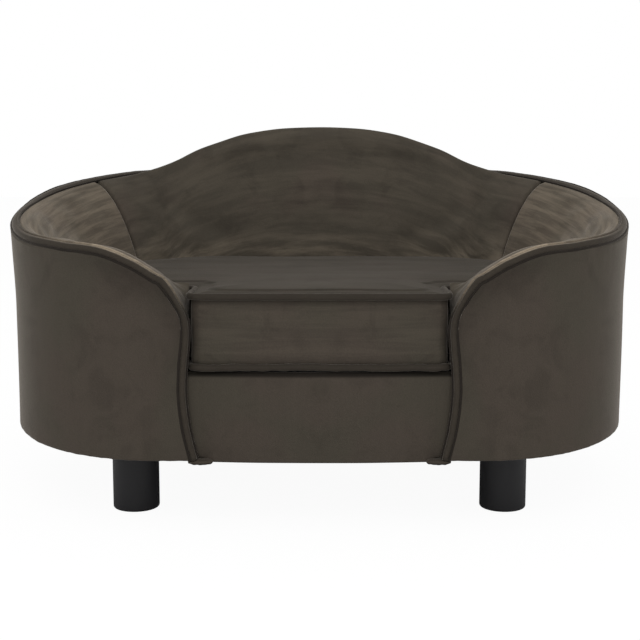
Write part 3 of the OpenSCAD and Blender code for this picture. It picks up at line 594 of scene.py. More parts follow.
# nylon coil and its woven tape
nylonCoil = finish("nylon coil", "2E2A26", "3A352F", 1.0, (1, 1, 1), 0.4, ior=1.53)
wovenTape = finish("woven polyester tape", "37322C", "47413A", 1.4, (1, 0.5, 0.5), 0.85, relief=0.6,
                   depth=0.0003)
# antiqued steel of the zip's slider and stops: grey-brown, with a dull shine
antiqueSteel = finish("steel, antiqued", "6A645C", "4C4741", 3, (1, 1, 1), 0.33, metal=1.0, relief=0.05)

for material, names in (
        (plywood, "base_board deck_board"), (hardboard, "left_shell right_shell back_shell"),
        (pine, "front_rail_board cross_bearer_left cross_bearer_right back_bearer"),
        (pine, "front_post_left front_post_right back_post_left back_post_right"),
        (zinc, "deck_screws base_screws leg_bolts tee_nuts"), (wovenTape, "zip_tape"),
        (antiqueSteel, "zip_stops")):
    for name in names.split():
        nodes[name].data.materials.clear()
        nodes[name].data.materials.append(material)
print("materials ready")

# arm and back padding; the gap at the seams between arm and back is in degrees round the corner
padding = dict(edgeStops=16, armStops=84, cornerStops=30, backStops=26, seamGap=0.05,
               slopeSteps=40, wallSteps=12, outerSteps=6, shell=4, swell=9, wrinkle=0.8, seamDip=0.5,
               seamReach=5, seamRings=6, evenings=12, riseAt=(0.8, 0.9, 0.97, 1.08, 1.3, 1.46, 2),
               rise=(0, 5.6, 3.6, 2.2, 4, 4.9, 6.4), armPaintedLight=0.33, edgeHighlight=1.1, farHighlight=0.18,
               backPaintedLight=(0.04, 0.26),
               stuffing=dict(pressure=3.0, spare=0.02, stiffness=0.6, cap=4.0, frames=14))


def hump(place):
    # where the back's padding swells over the rim and hides the roll from the front
    return soft((place - 0.82) / 0.13)


def paddingRing(s):
    # points of the padding at a station of the rim, and how freely the stuffing may move each
    lean = bandLean(s[5])
    corner = seamSpot(s) + np.array([math.cos(lean), -math.sin(lean)]) * (tub["innerCord"] + 0.6)
    shellIn = tub["fabric"] + tub["lay"] * 2 + padding["shell"]
    top = wallR(s, s[4]) + shellIn
    topZ = corner[1] - (corner[0] - top) * math.cos(lean) / math.sin(lean)
    ring = []
    for i in range(padding["outerSteps"]):
        z = mix(foamBottom, topZ, i / (padding["outerSteps"] - 1))
        ring.append(spot(s, wallR(s, z) + shellIn, z))
    ring.append(spot(s, *corner))
    free = [0] * len(ring)
    points = slope(s, padding["slopeSteps"], tub["innerCord"] + 0.2)
    swell = padding["swell"] * hump(s[5])
    lift = float(np.interp(s[5], padding["riseAt"], padding["rise"]))
    reach = 0
    for i, p in enumerate(points):
        before, after = points[max(i - 1, 0)], points[min(i + 1, len(points) - 1)]
        along = (after - before) / np.linalg.norm(after - before)
        reach += np.linalg.norm(p - before)
        bulge = swell * soft(reach / 8) * math.exp(-(max(reach - 9, 0) / 18) ** 2)
        rise = lift * soft(reach / 4) * math.exp(-(max(reach - 5, 0) / 12) ** 2)
        ring.append(spot(s, *(p + np.array([-along[1], along[0]]) * bulge + [0, rise])))
        free.append(soft(i / 5) * soft((len(points) + 6 - i) / 8))
    for i in range(1, padding["wallSteps"] + 1):
        z = mix(wellLevel(s), foamBottom, i / padding["wallSteps"])
        ring.append(spot(s, wellR(s), z))
        free.append(0.25 * soft((3 - i) / 3))
    for share in (0.75, 0.5, 0.25):
        ring.append(spot(s, mix(wallR(s, foamBottom) + shellIn, wellR(s), share), foamBottom))
        free.append(0)
    return ring, free


def padFrom(name, stops, material, seamEnds, paintedLightAt):
    rings, frees = zip(*(paddingRing(s) for s in stops))
    n = len(rings[0])
    points = [p for ring in rings for p in ring]
    free = np.array([f for ring in frees for f in ring])
    tops = np.array([ring[padding["outerSteps"]] for ring in rings])
    along = np.insert(np.cumsum(np.linalg.norm(np.diff(tops, axis=0), axis=1)), 0, 0)
    lie, paintedLevels = [], []
    for k, ring in enumerate(rings):
        reach = 0
        for j, p in enumerate(ring):
            if j > padding["outerSteps"]:
                reach += np.linalg.norm(p - ring[j - 1])
            lie.append((along[k] * mm, reach * mm, 0))
            paintedLevels.append(paintedLightAt(p, stops[k][5], reach))
    ends = np.arange(len(stops)).repeat(n)
    free *= np.minimum(1, np.minimum(ends, len(stops) - 1 - ends) / 3)
    pad = closedForm(name, rings, material)
    _, blown = inflate(pad, padding["stuffing"], held=1 - 0.999 * np.append(free, [0, 0]))
    grid = blown[:len(points)].reshape(len(rings), n, 3)
    for _ in range(padding["evenings"]):
        # the sharpest folds that the stuffing left across the rim are smoothed out
        grid[1:-1] = grid[1:-1] / 2 + (grid[:-2] + grid[2:]) / 4
    setCoords(pad, blown)
    co = coordsOf(pad)
    normals = normalsOf(pad)
    # brushed unevenness of the cover and the dip at the seams where two covers join
    for i, p in enumerate(points):
        if free[i] > 0:
            lift = padding["wrinkle"] * ripple(p, 42, 3.1) * free[i]
            lift += 0.35 * padding["wrinkle"] * ripple((p[0], p[1], p[2] * 1.6), 15, 7.7) * free[i]
            co[i] += normals[i] * lift * mix(1, soft(lie[i][1] / mm / 30), hump(stops[i // n][5])) * mm
    for end in seamEnds:
        edge = np.array(rings[end]) * mm
        for i in range(len(points)):
            if abs(i // n - end % len(rings)) <= padding["seamRings"]:
                away = np.linalg.norm(co[i] - edge[i % n]) / mm
                dip = padding["seamDip"] * max(0, 1 - away / padding["seamReach"]) ** 2
                co[i] -= normals[i] * dip * mm
    setCoords(pad, co)
    # painted light of the padding: painted highlight on the arms, painted light low on the back
    paint(pad, paintedLevels + [0, 0])
    layPile(pad, lie + [(0, 0, 0)] * 2)
    return settle(pad, "SUBSURF", levels=1, render_levels=1)


def armPaintedLight(p, place, reach):
    # painted highlight on the inside of an arm, strongest along its front edge
    base = padding["armPaintedLight"] * (1 - 0.2 * soft((place - 0.5) / 0.25)) * (1 - 0.35 * soft((reach - 45) / 60))
    base *= soft((abs(p[0]) - 142) / 22) if p[1] < 0 else 1
    atSeam = math.exp(-(reach / 8) ** 2)
    edge = padding["edgeHighlight"] * shine(place) * atSeam * soft((place - 0.01) / 0.05)
    far = padding["farHighlight"] * atSeam * soft((place - 0.3) / 0.1) * soft((0.7 - place) / 0.15)
    return min(1, base + edge + far)


def backPaintedLight(p, place, reach):
    # painted light on the back, a little all over and more low down
    least, more = padding["backPaintedLight"]
    return least + more * soft((268 - p[2]) / 45)


n, gap = padding["armStops"], padding["seamGap"]
armStops = [(-openX,) + frontStop(0)[1:]]
armStops += [frontStop(i / padding["edgeStops"]) for i in range(padding["edgeStops"])]
armStops += [cornerStop(tub["seamTurn"] * i / n) for i in range(n)] + [cornerStop(tub["seamTurn"] - gap)]
leftPad = padFrom("left_arm_pad", armStops, velvetArm, [-1], armPaintedLight)
rightPad = mirroredCopy(leftPad, "right_arm_pad")
backStops = bothSides(roundStops(padding["cornerStops"], padding["backStops"], tub["seamTurn"] + gap))
backPad = padFrom("back_pad", backStops, velvetBack, [0, -1], backPaintedLight)
dress(leftPad, "velvet", "sofa_body", "left_inner_cover", "left_arm_foam")
dress(rightPad, "velvet", "sofa_body", "right_inner_cover", "right_arm_foam")
dress(backPad, "velvet", "sofa_body", "back_inner_cover", "back_foam")
print("arm and back padding ready")

# outer cover
cover = dict(low=30, high=26, hemRound=2.2, pucker=0.45, puckerSize=7, puckerReach=14, sway=0.9,
             hemPleat=0.5, mostLift=0.9, frontStops=14, cornerStops=130, backStops=30, shade=0.36,
             shadeReach=19)
coverStops = [frontStop(i / cover["frontStops"]) for i in range(cover["frontStops"])]
coverStops = bothSides(coverStops + roundStops(cover["cornerStops"], cover["backStops"]))


def coverColumn(s):
    # from the turned-in hem, round the lower edge and up the wall to the piping
    top = s[4] - 0.3 * outerR
    low, bend = tub["clearance"], cover["hemRound"]
    r0 = wallR(s, low)
    column = [(r0 + tub["hem"] * share, low) for share in (1, 0.66, 0.33)]
    column += [(r0 + bend * (1 - math.sin(a)), low + bend * (1 - math.cos(a))) for a in quarter(4)]
    knee = flareStart(s)
    zs = [mix(low + bend, knee, i / cover["low"]) for i in range(1, cover["low"])]
    zs += [mix(knee, top, i / cover["high"]) for i in range(cover["high"] + 1)]
    return column + [(wallR(s, z), z) for z in zs]


points = []
frontX, frontTop = -coverStops[0][0], coverStops[0][4]
for k, s in enumerate(coverStops):
    column = coverColumn(s)
    for r, z in column:
        p = spot(s, r, z)
        if min(k, len(coverStops) - 1 - k) < cover["frontStops"]:
            # the front edge leans with the piping
            innerX = edgeX(min(z, frontTop)) + 0.3 * outerR
            p[0] = math.copysign(mix(innerX, straightX, (abs(s[0]) - frontX) / (straightX - frontX)), s[0])
        points.append(p)
outerCover = makeMesh("outer_cover_velvet", points, gridFaces(len(coverStops), len(column)), velvetUpright)
co = coordsOf(outerCover)
outerCover.data.flip_normals()
normals = normalsOf(outerCover)
for i, p in enumerate(points):
    fromTop = coverStops[i // len(column)][4] - p[2]
    lift = cover["sway"] * ripple((p[0], p[1], p[2] * 0.7), 130, 1.3) * soft((fromTop - 4) / 30)
    lift += (cover["pucker"] * ripple((p[0], p[1], p[2] * 0.25), cover["puckerSize"], 5.0)
             * math.exp(-max(fromTop, 0) / cover["puckerReach"]))
    pleat = cover["hemPleat"] * ripple((p[0], p[1], 0), 8, 9.0) * math.exp(-(p[2] - tub["clearance"]) / 6)
    # the hem turned in under the tub lies flat
    lift += pleat * (i % len(column) > 2)
    co[i] += normals[i] * min(lift, cover["mostLift"]) * mm
setCoords(outerCover, co)
# painted shade on the cover under the roll, where the arm's edge turns down
step, away = nearestStep(co)
under = np.interp([placeOf(i) for i in step], (-0.5, -0.35, -0.1, 0.03, 0.14, 0.2),
                  (0.05, 0.35, 0.8, 1, 0.3, 0))
paint(outerCover, -cover["shade"] * under * np.exp(-(away / cover["shadeReach"]) ** 2))
settle(outerCover, "SOLIDIFY", thickness=tub["fabric"] * mm, offset=-1)
dress(outerCover, "velvet", "sofa_body", "outer_cover")
print("outer cover ready")

# roll along the rim, with its ends folded under the base
roll = dict(across=16, below=5, under=2.6, pucker=0.4, puckerSize=11, pinch=0.3, paintedLight=1.2,
            crownAt=(-0.64, 0.3, 0.5, 0.84, 0.96), crown=(3.4, 3.8, 2.4, 2.2, 1.75))

rings, paintedLevels = [], []
for i, (here, _, _, width) in enumerate(path):
    f = bandFrame(i)
    a, b = tub["outerCord"] * 0.6, width - tub["innerCord"] * 0.6
    place = placeOf(i)
    height = float(np.interp(place, roll["crownAt"], roll["crown"]))
    lift = roll["pucker"] * ripple(here, roll["puckerSize"], 2.0) + 0.4 * ripple(here, 45, 4.0)
    # painted highlight on the inner part of the roll along the arms' front edges
    bright = roll["paintedLight"] * shine(place)
    brightFrom = float(np.interp(place, (-0.2, 0.02), (0.8, 0.62)))
    ring = []
    for j in range(roll["across"] + 1):
        share = j / roll["across"]
        crown = math.sin(math.pi * share) ** 0.75
        edge = roll["pinch"] * ripple(here + f[0] * (share - 0.5) * 30, 5, 6.0) * (1 - crown)
        ring.append(here + f[0] * mix(a, b, share) + f[1] * ((height + lift * 0.6) * crown + edge))
        paintedLevels.append(bright * soft((share - brightFrom) / 0.3))
    for j in range(roll["below"]):
        ring.append(here + f[0] * mix(b, a, (j + 0.5) / roll["below"]) - f[1] * roll["under"])
        paintedLevels.append(0)
    rings.append(ring)
rimRoll = closedForm("rim_roll", rings, velvetRoll, paintedLevels)
dress(rimRoll, "velvet", "sofa_body", "rim_band", "rim_padding")

tails = dict(x=(-125.5, -101.5), y=(-241.5, -226), z=(65.6, 70.9), dark=67.8, rings=13, sides=28)
points, faces = [], []
for side in (1, -1):
    base = len(points)
    for i in range(tails["rings"]):
        a = math.pi * i / (tails["rings"] - 1)
        for j in range(tails["sides"]):
            b = 2 * math.pi * j / tails["sides"]
            unit = [math.sin(a) * math.cos(b), math.sin(a) * math.sin(b), math.cos(a)]
            shaped = [math.copysign(abs(c) ** 0.75, c) for c in unit]
            p = np.array([mix(*tails[axis], (c + 1) / 2) for axis, c in zip("xyz", shaped)])
            p[2] += 0.6 * ripple((p[0] * 2.2, p[1] * 0.5, 0), 7, 3.0) * (unit[2] < 0)
            p[0] *= side
            points.append(p)
    for face in gridFaces(tails["rings"], tails["sides"], wrapColumns=True):
        faces.append(tuple(base + v for v in face))
rollTails = turnOut(makeMesh("rim_roll_ends", points, faces, velvetUpright))
# painted shade on the lower part of the roll's folded ends
paint(rollTails, [-0.75 * soft((tails["dark"] + 0.8 - z) / 1.6) for z in coordsOf(rollTails)[:, 2] / mm])
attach(rollTails, "sofa_body")
print("rim roll ready")


# piping: a cord in a bias strip, swept along its path
def buildTree(name, inputs):
    # an empty geometry tree with named inputs, the last of them its material
    tree = bpy.data.node_groups.new(name, "GeometryNodeTree")
    sockets = {"Geometry": "Geometry", **inputs, "Finish": "Material"}
    for label, kind in sockets.items():
        tree.interface.new_socket(name=label, in_out="INPUT", socket_type="NodeSocket" + kind)
    tree.interface.new_socket(name="Geometry", in_out="OUTPUT", socket_type="NodeSocketGeometry")
    return tree, tree.nodes.new("NodeGroupInput").outputs


def endTree(tree, group, last):
    real = addNode(tree, "GeometryNodeRealizeInstances", {"Geometry": last})
    coloured = addNode(tree, "GeometryNodeSetMaterial", {"Geometry": real, "Material": group["Finish"]})
    addNode(tree, "NodeGroupOutput", {0: coloured})


def grow(name, base, tree, values):
    # runs a tree on a base object and keeps the result as a plain mesh
    modifier = base.modifiers.new(tree.name, "NODES")
    modifier.node_group = tree
    for socket in tree.interface.items_tree:
        if socket.name in values:
            modifier[socket.identifier] = values[socket.name]
    mesh = evaluatedMesh(base, name)
    base.modifiers.remove(modifier)
    bpy.data.objects.remove(base)
    piece = bpy.data.objects.new(name, mesh)
    scene.collection.objects.link(piece)
    return piece


def polyline(name, points, closed):
    count = len(points)
    edges = [(i, (i + 1) % count) for i in range(count if closed else count - 1)]
    return makeMesh(name, points, [], edges=edges)


pipingTree, group = buildTree("piping along a seam", {
    "Radius": "Float", "Sides": "Int", "Step": "Float", "Wobble": "Float", "Wobble size": "Float",
    "Seed": "Float"})
line = addNode(pipingTree, "GeometryNodeMeshToCurve", {"Mesh": group["Geometry"]})
even = addNode(pipingTree, "GeometryNodeResampleCurve", {"Curve": line, "Length": group["Step"]},
               mode="LENGTH")
circle = addNode(pipingTree, "GeometryNodeCurvePrimitiveCircle",
                 {"Resolution": group["Sides"], "Radius": group["Radius"]})
tube = addNode(pipingTree, "GeometryNodeCurveToMesh",
               {"Curve": even, "Profile Curve": circle, "Fill Caps": True})
where = addNode(pipingTree, "GeometryNodeInputPosition")
shifted = addNode(pipingTree, "ShaderNodeVectorMath", {0: where, 1: group["Seed"]}, operation="ADD")
density = addNode(pipingTree, "ShaderNodeMath", {0: 1.0, 1: group["Wobble size"]}, operation="DIVIDE")
wave = addNode(pipingTree, "ShaderNodeTexNoise", {"Vector": shifted, "Scale": density, "Detail": 2})
centred = addNode(pipingTree, "ShaderNodeMath", {0: wave, 1: 0.5}, operation="SUBTRACT")
amount = addNode(pipingTree, "ShaderNodeMath", {0: centred, 1: group["Wobble"]}, operation="MULTIPLY")
outwards = addNode(pipingTree, "GeometryNodeInputNormal")
offset = addNode(pipingTree, "ShaderNodeVectorMath", {0: outwards, "Scale": amount}, operation="SCALE")
uneven = addNode(pipingTree, "GeometryNodeSetPosition", {"Geometry": tube, "Offset": offset})
endTree(pipingTree, group, addNode(pipingTree, "GeometryNodeSetShadeSmooth", {"Geometry": uneven}))

rimPiping = dict(sides=14, step=2.4, wobble=0.6, wobbleSize=11, outerSeed=0.3, innerSeed=0.7, paintedLight=1.1)


def piping(name, points, closed, radius, wobble, seed, material=velvetPiping):
    return grow(name, polyline(name + "_line", points, closed), pipingTree, {
        "Radius": radius * mm, "Sides": rimPiping["sides"], "Step": rimPiping["step"] * mm,
        "Wobble": wobble * mm, "Wobble size": rimPiping["wobbleSize"] * mm, "Seed": seed,
        "Finish": material})


outerPiping = piping("outer_piping_cord", [p[0] for p in path], False, tub["outerCord"],
                     rimPiping["wobble"], rimPiping["outerSeed"])
innerPiping = piping("inner_piping_cord", [p[0] + bandFrame(i)[0] * p[3] for i, p in enumerate(path)],
                     False, tub["innerCord"], rimPiping["wobble"], rimPiping["innerSeed"])
# painted highlight on the inner piping where the arms' front edges catch the light
paint(innerPiping, [rimPiping["paintedLight"] * shine(placeOf(i)) for i in nearestStep(coordsOf(innerPiping))[0]])
dress(outerPiping, "piping", "sofa_body", "outer_piping")
dress(innerPiping, "piping", "sofa_body", "inner_piping")
print("rim piping ready")


def wellOutline(inset, frontY, roundR, cut, step=4.0):
    # plan of the seat well with its tongue between the arms, as points a step apart
    a, b, c = wellW - inset, wellD - inset, wellCorner - inset
    tongueX = openX - inset
    r = max(roundR - inset, 1)
    last = math.pi - math.asin((tongueX + cut - wellStraight) / c)
    meetY = b * math.cos(math.pi - math.asin((tongueX - wellStraight) / c)) - cut
    left = [(-wellStraight, b)]
    left += [(-wellStraight - c * math.sin(last * i / 60), b * math.cos(last * i / 60)) for i in range(1, 61)]
    left += [(-tongueX, meetY)]
    left += [(-tongueX + r - r * math.cos(t), frontY + r - r * math.sin(t)) for t in quarter(12)]
    line = np.array(left + [(-x, y) for x, y in reversed(left)])
    line = np.vstack([line, line[:1]])
    lengths = np.insert(np.cumsum(np.linalg.norm(np.diff(line, axis=0), axis=1)), 0, 0)
    count = int(lengths[-1] / step)
    at = np.linspace(0, lengths[-1], count, endpoint=False)
    return np.column_stack([np.interp(at, lengths, line[:, k]) for k in (0, 1)])


# front rail: a padded face under the cushion
rail = dict(bulge=6, bulgeShare=0.89, top=154, round=6, roundLow=3, sway=0.7, width=127.2, hang=3.6,
            hangTo=107, steps=84, faceSteps=26, dark=0.7, darkFrom=148.5)
rail["endY"] = (-halfD + tub["flareFront"] + outerR + innerR + tub["lay"]
                + tub["frontBandWidth"] * math.sin(math.radians(tub["leanFront"])))
rail["backY"] = rail["endY"] + tub["fabric"] + 2.5 + 2 * tub["lay"]


def railProfile(share):
    # outline in y and z at a share (-1 to 1) of the rail's width
    face = rail["endY"] - rail["bulge"] * max(0, 1 - (share / rail["bulgeShare"]) ** 2)
    ends = soft((1 - abs(share)) / 0.06)
    # the cover hangs a little below the tub between the roll's folded ends
    hang = rail["hang"] * soft((rail["hangTo"] + 4 - abs(share) * rail["width"]) / 6)
    top, low, r, r2 = rail["top"], tub["clearance"] + 0.2 - hang, rail["round"], rail["roundLow"]
    n = rail["faceSteps"]
    outline = [(rail["backY"] - 1, top), (rail["backY"] - 2.5, top)]
    outline += [(face + r * (1 - math.sin(t)), top - r * (1 - math.cos(t))) for t in quarter(8)]
    outline += [(face - 1.2 * math.sin(math.pi * i / n) * ends, mix(top - r, low + r2, i / n))
                for i in range(1, n)]
    outline += [(face + r2 * (1 - math.cos(t)), low + r2 * (1 - math.sin(t))) for t in quarter(4)]
    return outline + [(rail["backY"] - 1, tub["clearance"] + 0.2), (rail["backY"] - 1, mix(low, top, 0.5))]


rings = []
for i in range(rail["steps"] + 1):
    share = 2 * i / rail["steps"] - 1
    ring = []
    for y, z in railProfile(share):
        p = np.array([share * rail["width"], y, z])
        if y < rail["backY"] - 3:
            p[1] += rail["sway"] * ripple((p[0], 0, p[2] * 0.6), 55, 8.0)
            p[1] += 0.5 * ripple((p[0], 0, p[2] * 0.3), 9, 2.5) * soft((p[2] - 138) / 12)
        ring.append(p)
    rings.append(ring)
railPad = closedForm("front_rail_pad", rings, velvetUpright)
# painted shade along the top of the rail, in the gap under the cushion
paint(railPad, [-rail["dark"] * soft((z - rail["darkFrom"]) / 3) for z in coordsOf(railPad)[:, 2] / mm])
settle(railPad, "SUBSURF", levels=1, render_levels=1)
dress(railPad, "velvet", "sofa_body", "rail_cover", "rail_foam")
print("front rail ready")

# seat cushion: a boxed cushion blown up from inside
cushion = dict(gap=1.5, frontY=-halfD + 5, round=16, cut=3, height=75, topPiping=6.6, bottomPiping=7.2,
               crown=2, startInset=4.6, startDrop=6, voxel=5, frontCap=4.6, sideCap=2.6, crease=1.2,
               creaseReach=7, rise=6, riseReach=22, panelSlack=1.2, gather=0.7, gatherReach=22, wave=0.9,
               quickSwell=3.0, topShade=0.27, topShadeBack=0.2, seamShade=0.75,
               stuffing=dict(pressure=4.0, spare=0.02, stiffness=0.5, cap=10, frames=20))
cushionTop = seatHeight + cushion["height"]
cushionMidY = (wellD + cushion["frontY"]) / 2
topSeamZ = cushionTop - cushion["topPiping"] / 2
lowSeamZ = seatHeight + cushion["bottomPiping"] / 2
zipper = dict(length=208, slot=16, depth=5.8, z=seatHeight + 71.5 / 2, y=wellD - cushion["gap"])


def cushionRing(inset, z, share=1.0, crown=0.0, count=380):
    line = wellOutline(cushion["gap"] + inset, cushion["frontY"] + inset, cushion["round"], cushion["cut"])
    at = np.linspace(0, len(line), count, endpoint=False)
    closed = np.vstack([line, line[:1]])
    x = np.interp(at, np.arange(len(closed)), closed[:, 0]) * share
    y = np.interp(at, np.arange(len(closed)), closed[:, 1])
    y = cushionMidY + (y - cushionMidY) * share
    return np.column_stack([x, y, np.full(count, z + crown * (1 - share ** 2))])


inset = cushion["startInset"]
low, high = seatHeight + 0.6, cushionTop - cushion["startDrop"]
rings = [cushionRing(inset, low, share) for share in (0.06, 0.4, 0.7, 0.9)]
rings += [cushionRing(inset + 2, low), cushionRing(inset, low + 2.5)]
rings += [cushionRing(inset, mix(low + 4, high - 4, i / 8)) for i in range(9)]
rings += [cushionRing(inset, high - 2.5), cushionRing(inset + 2, high)]
rings += [cushionRing(inset, high, share, cushion["crown"]) for share in (0.94, 0.85, 0.7, 0.5, 0.3, 0.06)]
seatCushion = closedForm("seat_cushion", rings, velvetAlong)
settle(seatCushion, "REMESH", mode="VOXEL", voxel_size=cushion["voxel"] * mm)
print("cushion remeshed:", len(seatCushion.data.vertices), "vertices")
rest, blown = inflate(seatCushion, cushion["stuffing"])
normals = normalsOf(seatCushion)
move = blown - rest
# sides keep clear of the arms and the back, the front may bulge, and the bottom lies flat
frontFace = rest[:, 1] < (cushion["frontY"] + 16) * mm
cap = np.where(frontFace, cushion["frontCap"], cushion["sideCap"])[:, None] * mm
move[:, :2] *= np.minimum(1, cap / np.maximum(np.linalg.norm(move[:, :2], axis=1, keepdims=True), 1e-9))
co = rest + move
co[:, 2] = np.maximum(co[:, 2], seatHeight * mm)
lowest = rest[:, 2] < (seatHeight + 3) * mm
co[lowest, 2] = np.clip(co[lowest, 2], seatHeight * mm, (seatHeight + 2.5) * mm)
setCoords(seatCushion, co)
settle(seatCushion, "SUBSURF", levels=1, render_levels=1)
print("cushion blown up:", len(seatCushion.data.vertices), "vertices")


def seamCurve(inset, z):
    return [Vector((p[0] * mm, p[1] * mm, z * mm)) for p in cushionRing(inset, z, count=420)]


co = coordsOf(seatCushion)
normals = normalsOf(seatCushion)
# the top panel rises from its seam at once and then lies nearly level
level = co.copy()
level[:, 2] = topSeamZ * mm
fromSeam = nearest(level, np.array(seamCurve(cushion["topPiping"] / 2, topSeamZ)))[1] / mm
panel = topSeamZ + cushion["rise"] * (1 - np.exp(-fromSeam / cushion["riseReach"])) + 0.6
topPanel = (normals[:, 2] > 0.25) & (co[:, 2] > (topSeamZ - 9) * mm)
co[topPanel, 2] = np.clip(co[topPanel, 2], panel[topPanel] * mm,
                          (panel[topPanel] + cushion["panelSlack"]) * mm)
setCoords(seatCushion, co)
normals = normalsOf(seatCushion)
surface = BVHTree.FromObject(seatCushion, bpy.context.evaluated_depsgraph_get())


def seamOn(radius, z, sink, hold):
    # the seam lies on the blown-up cushion, close to its place in the frame; hold: how closely the
    # sides and the back follow the cushion
    line = []
    for p in seamCurve(radius, z):
        hit, normal, _, _ = surface.find_nearest(p)
        target = hit + normal * (radius * mm * (1 - sink))
        share = mix(0.55, hold, soft((p.y / mm - cushion["frontY"] - 10) / 20))
        line.append(np.array(p.lerp(target, share)) / mm)
    return line


topLine = seamOn(cushion["topPiping"] / 2, topSeamZ, 0.3, 0.75)
lowLine = seamOn(cushion["bottomPiping"] / 2, lowSeamZ, 0.5, 1)
for line in (topLine, lowLine):
    away = nearest(co, np.array([Vector(p) * mm for p in line]))[1] / mm
    dip = cushion["crease"] * np.clip(1 - away / cushion["creaseReach"], 0, 1) ** 1.5
    co -= normals * dip[:, None] * mm
co[:, 2] = np.maximum(co[:, 2], seatHeight * mm)
# gathers at the seams and soft waves of the cover
for i in range(len(co)):
    p = co[i] / mm
    side = 1 - abs(normals[i][2])
    toSeam = min(abs(p[2] - topSeamZ), abs(p[2] - lowSeamZ)) / cushion["gatherReach"]
    lift = cushion["gather"] * ripple((p[0], p[1], p[2] * 0.25), 12, 1.7) * side * max(0, 1 - toSeam)
    lift += cushion["wave"] * ripple((p[0] * 0.6, p[1], p[2]), 48, 6.1)
    if abs(normals[i][2]) < 0.5 and p[1] > cushion["frontY"] + 20:
        lift = min(lift, 0.3)
    if normals[i][2] < -0.5:
        lift = 0
    co[i] += normals[i] * lift * mm
# slot of the zip in the back
inSlot = ((np.abs(co[:, 0]) < (zipper["length"] / 2 + 1) * mm) & (co[:, 1] > (zipper["y"] - 16) * mm)
          & (np.abs(co[:, 2] - zipper["z"] * mm) < (zipper["slot"] / 2 + 0.4) * mm))
co[inSlot, 1] = np.minimum(co[inSlot, 1], (zipper["y"] - zipper["depth"] - 4.2) * mm)
setCoords(seatCushion, co)
# painted shade on the top, more toward the back, and painted shadow lines under both pipings
height = co[:, 2] / mm
underTop = np.clip(1 - np.abs(height - (topSeamZ - cushion["topPiping"] / 2 - 0.5)) / 3.5, 0, 1)
underLow = np.clip((seatHeight + 4 - height) / 4, 0, 1)
upward = np.clip((normals[:, 2] - 0.3) / 0.4, 0, 1)
farther = np.clip((co[:, 1] / mm + 160) / 300, 0, 1)
# the top faces take a copy of the velvet with weaker sheen, so that they render darker
seatCushion.data.materials.append(velvetSeat)
topFaces = [f.normal.z > 0.6 and f.center.z > (topSeamZ - 1) * mm for f in seatCushion.data.polygons]
seatCushion.data.polygons.foreach_set("material_index", np.array(topFaces, np.int32))
paint(seatCushion, np.minimum(-0.03 - upward * (cushion["topShade"] + cushion["topShadeBack"] * farther),
                              -cushion["seamShade"] * np.maximum(underTop, underLow) * (1 - upward)))
dress(seatCushion, "velvet", "cushion", "cushion_core", "cushion_top_panel", "cushion_bottom_panel",
      "cushion_boxing")

cushionPiping = dict(topWobble=1.2, lowWobble=2.2, topSeed=1.9, lowSeed=2.9, fold=0.9)
topPiping = piping("cushion_top_piping_cord", topLine, True, cushion["topPiping"] / 2,
                   cushionPiping["topWobble"], cushionPiping["topSeed"], velvetSeam)
lowLine = [p + np.array([0, 0, cushionPiping["fold"] * ripple((p[0], p[1], 0), 26, 3.3)]) for p in lowLine]
for p in lowLine:
    p[2] = max(p[2], lowSeamZ + 0.2)
lowPiping = piping("cushion_bottom_piping_cord", lowLine, True, cushion["bottomPiping"] / 2 - 0.3,
                   cushionPiping["lowWobble"], cushionPiping["lowSeed"], velvetSeam)
dress(topPiping, "piping", "cushion", "cushion_top_piping")
dress(lowPiping, "piping", "cushion", "cushion_bottom_piping")
print("cushion ready")

# zip: coil teeth on both tapes, slider with a pull
teeth = dict(pitch=1.5, wire=0.55, tooth=2.6, gap=1.4, margin=4)
teethTree, group = buildTree("zip teeth in two rows", {
    "Length": "Float", "Pitch": "Float", "Wire": "Float", "Tooth": "Float"})
count = addNode(teethTree, "ShaderNodeMath", {0: group["Length"], 1: group["Pitch"]}, operation="DIVIDE")
along = addNode(teethTree, "ShaderNodeCombineXYZ", {0: group["Pitch"]})
row = addNode(teethTree, "GeometryNodeMeshLine", {"Count": count, "Offset": along}, mode="OFFSET")
wire = addNode(teethTree, "GeometryNodeMeshCylinder",
               {"Vertices": 6, "Radius": group["Wire"], "Depth": group["Tooth"]})
starts = addNode(teethTree, "GeometryNodeMeshToPoints", {"Mesh": group["Geometry"]})
oneRow = addNode(teethTree, "GeometryNodeInstanceOnPoints", {"Points": row, "Instance": wire})
endTree(teethTree, group,
        addNode(teethTree, "GeometryNodeInstanceOnPoints", {"Points": starts, "Instance": oneRow}))
rowX = -zipper["length"] / 2 + teeth["margin"]
coilY = zipper["y"] - zipper["depth"] - 0.7
rowZ = (teeth["gap"] + teeth["tooth"]) / 2
rowStarts = [(rowX, coilY, zipper["z"] + rowZ), (rowX + teeth["pitch"] / 2, coilY, zipper["z"] - rowZ)]
zipTeeth = grow("zip_coil_teeth", makeMesh("teeth_base", rowStarts, []), teethTree, {
    "Length": (zipper["length"] - 2 * teeth["margin"]) * mm, "Pitch": teeth["pitch"] * mm,
    "Wire": teeth["wire"] * mm, "Tooth": teeth["tooth"] * mm, "Finish": nylonCoil})
dress(zipTeeth, "zip_plastic", "cushion", "zip_coil")

slider = dict(x=88, length=12, width=9, wing=1.2, back=0.6, pull=20, pullWidth=5, edge=0.25)


def roundedSlab(x0, x1, half, r, steps=5):
    # outline in x and z with round corners, moved to the slider's place
    corners = [(x1 - r, half - r, 0), (x0 + r, half - r, 90), (x0 + r, -half + r, 180),
               (x1 - r, -half + r, 270)]
    return [(cx + r * math.cos(math.radians(a + 90 * i / steps)) + slider["x"],
             cz + r * math.sin(math.radians(a + 90 * i / steps)) + zipper["z"])
            for cx, cz, a in corners for i in range(steps + 1)]


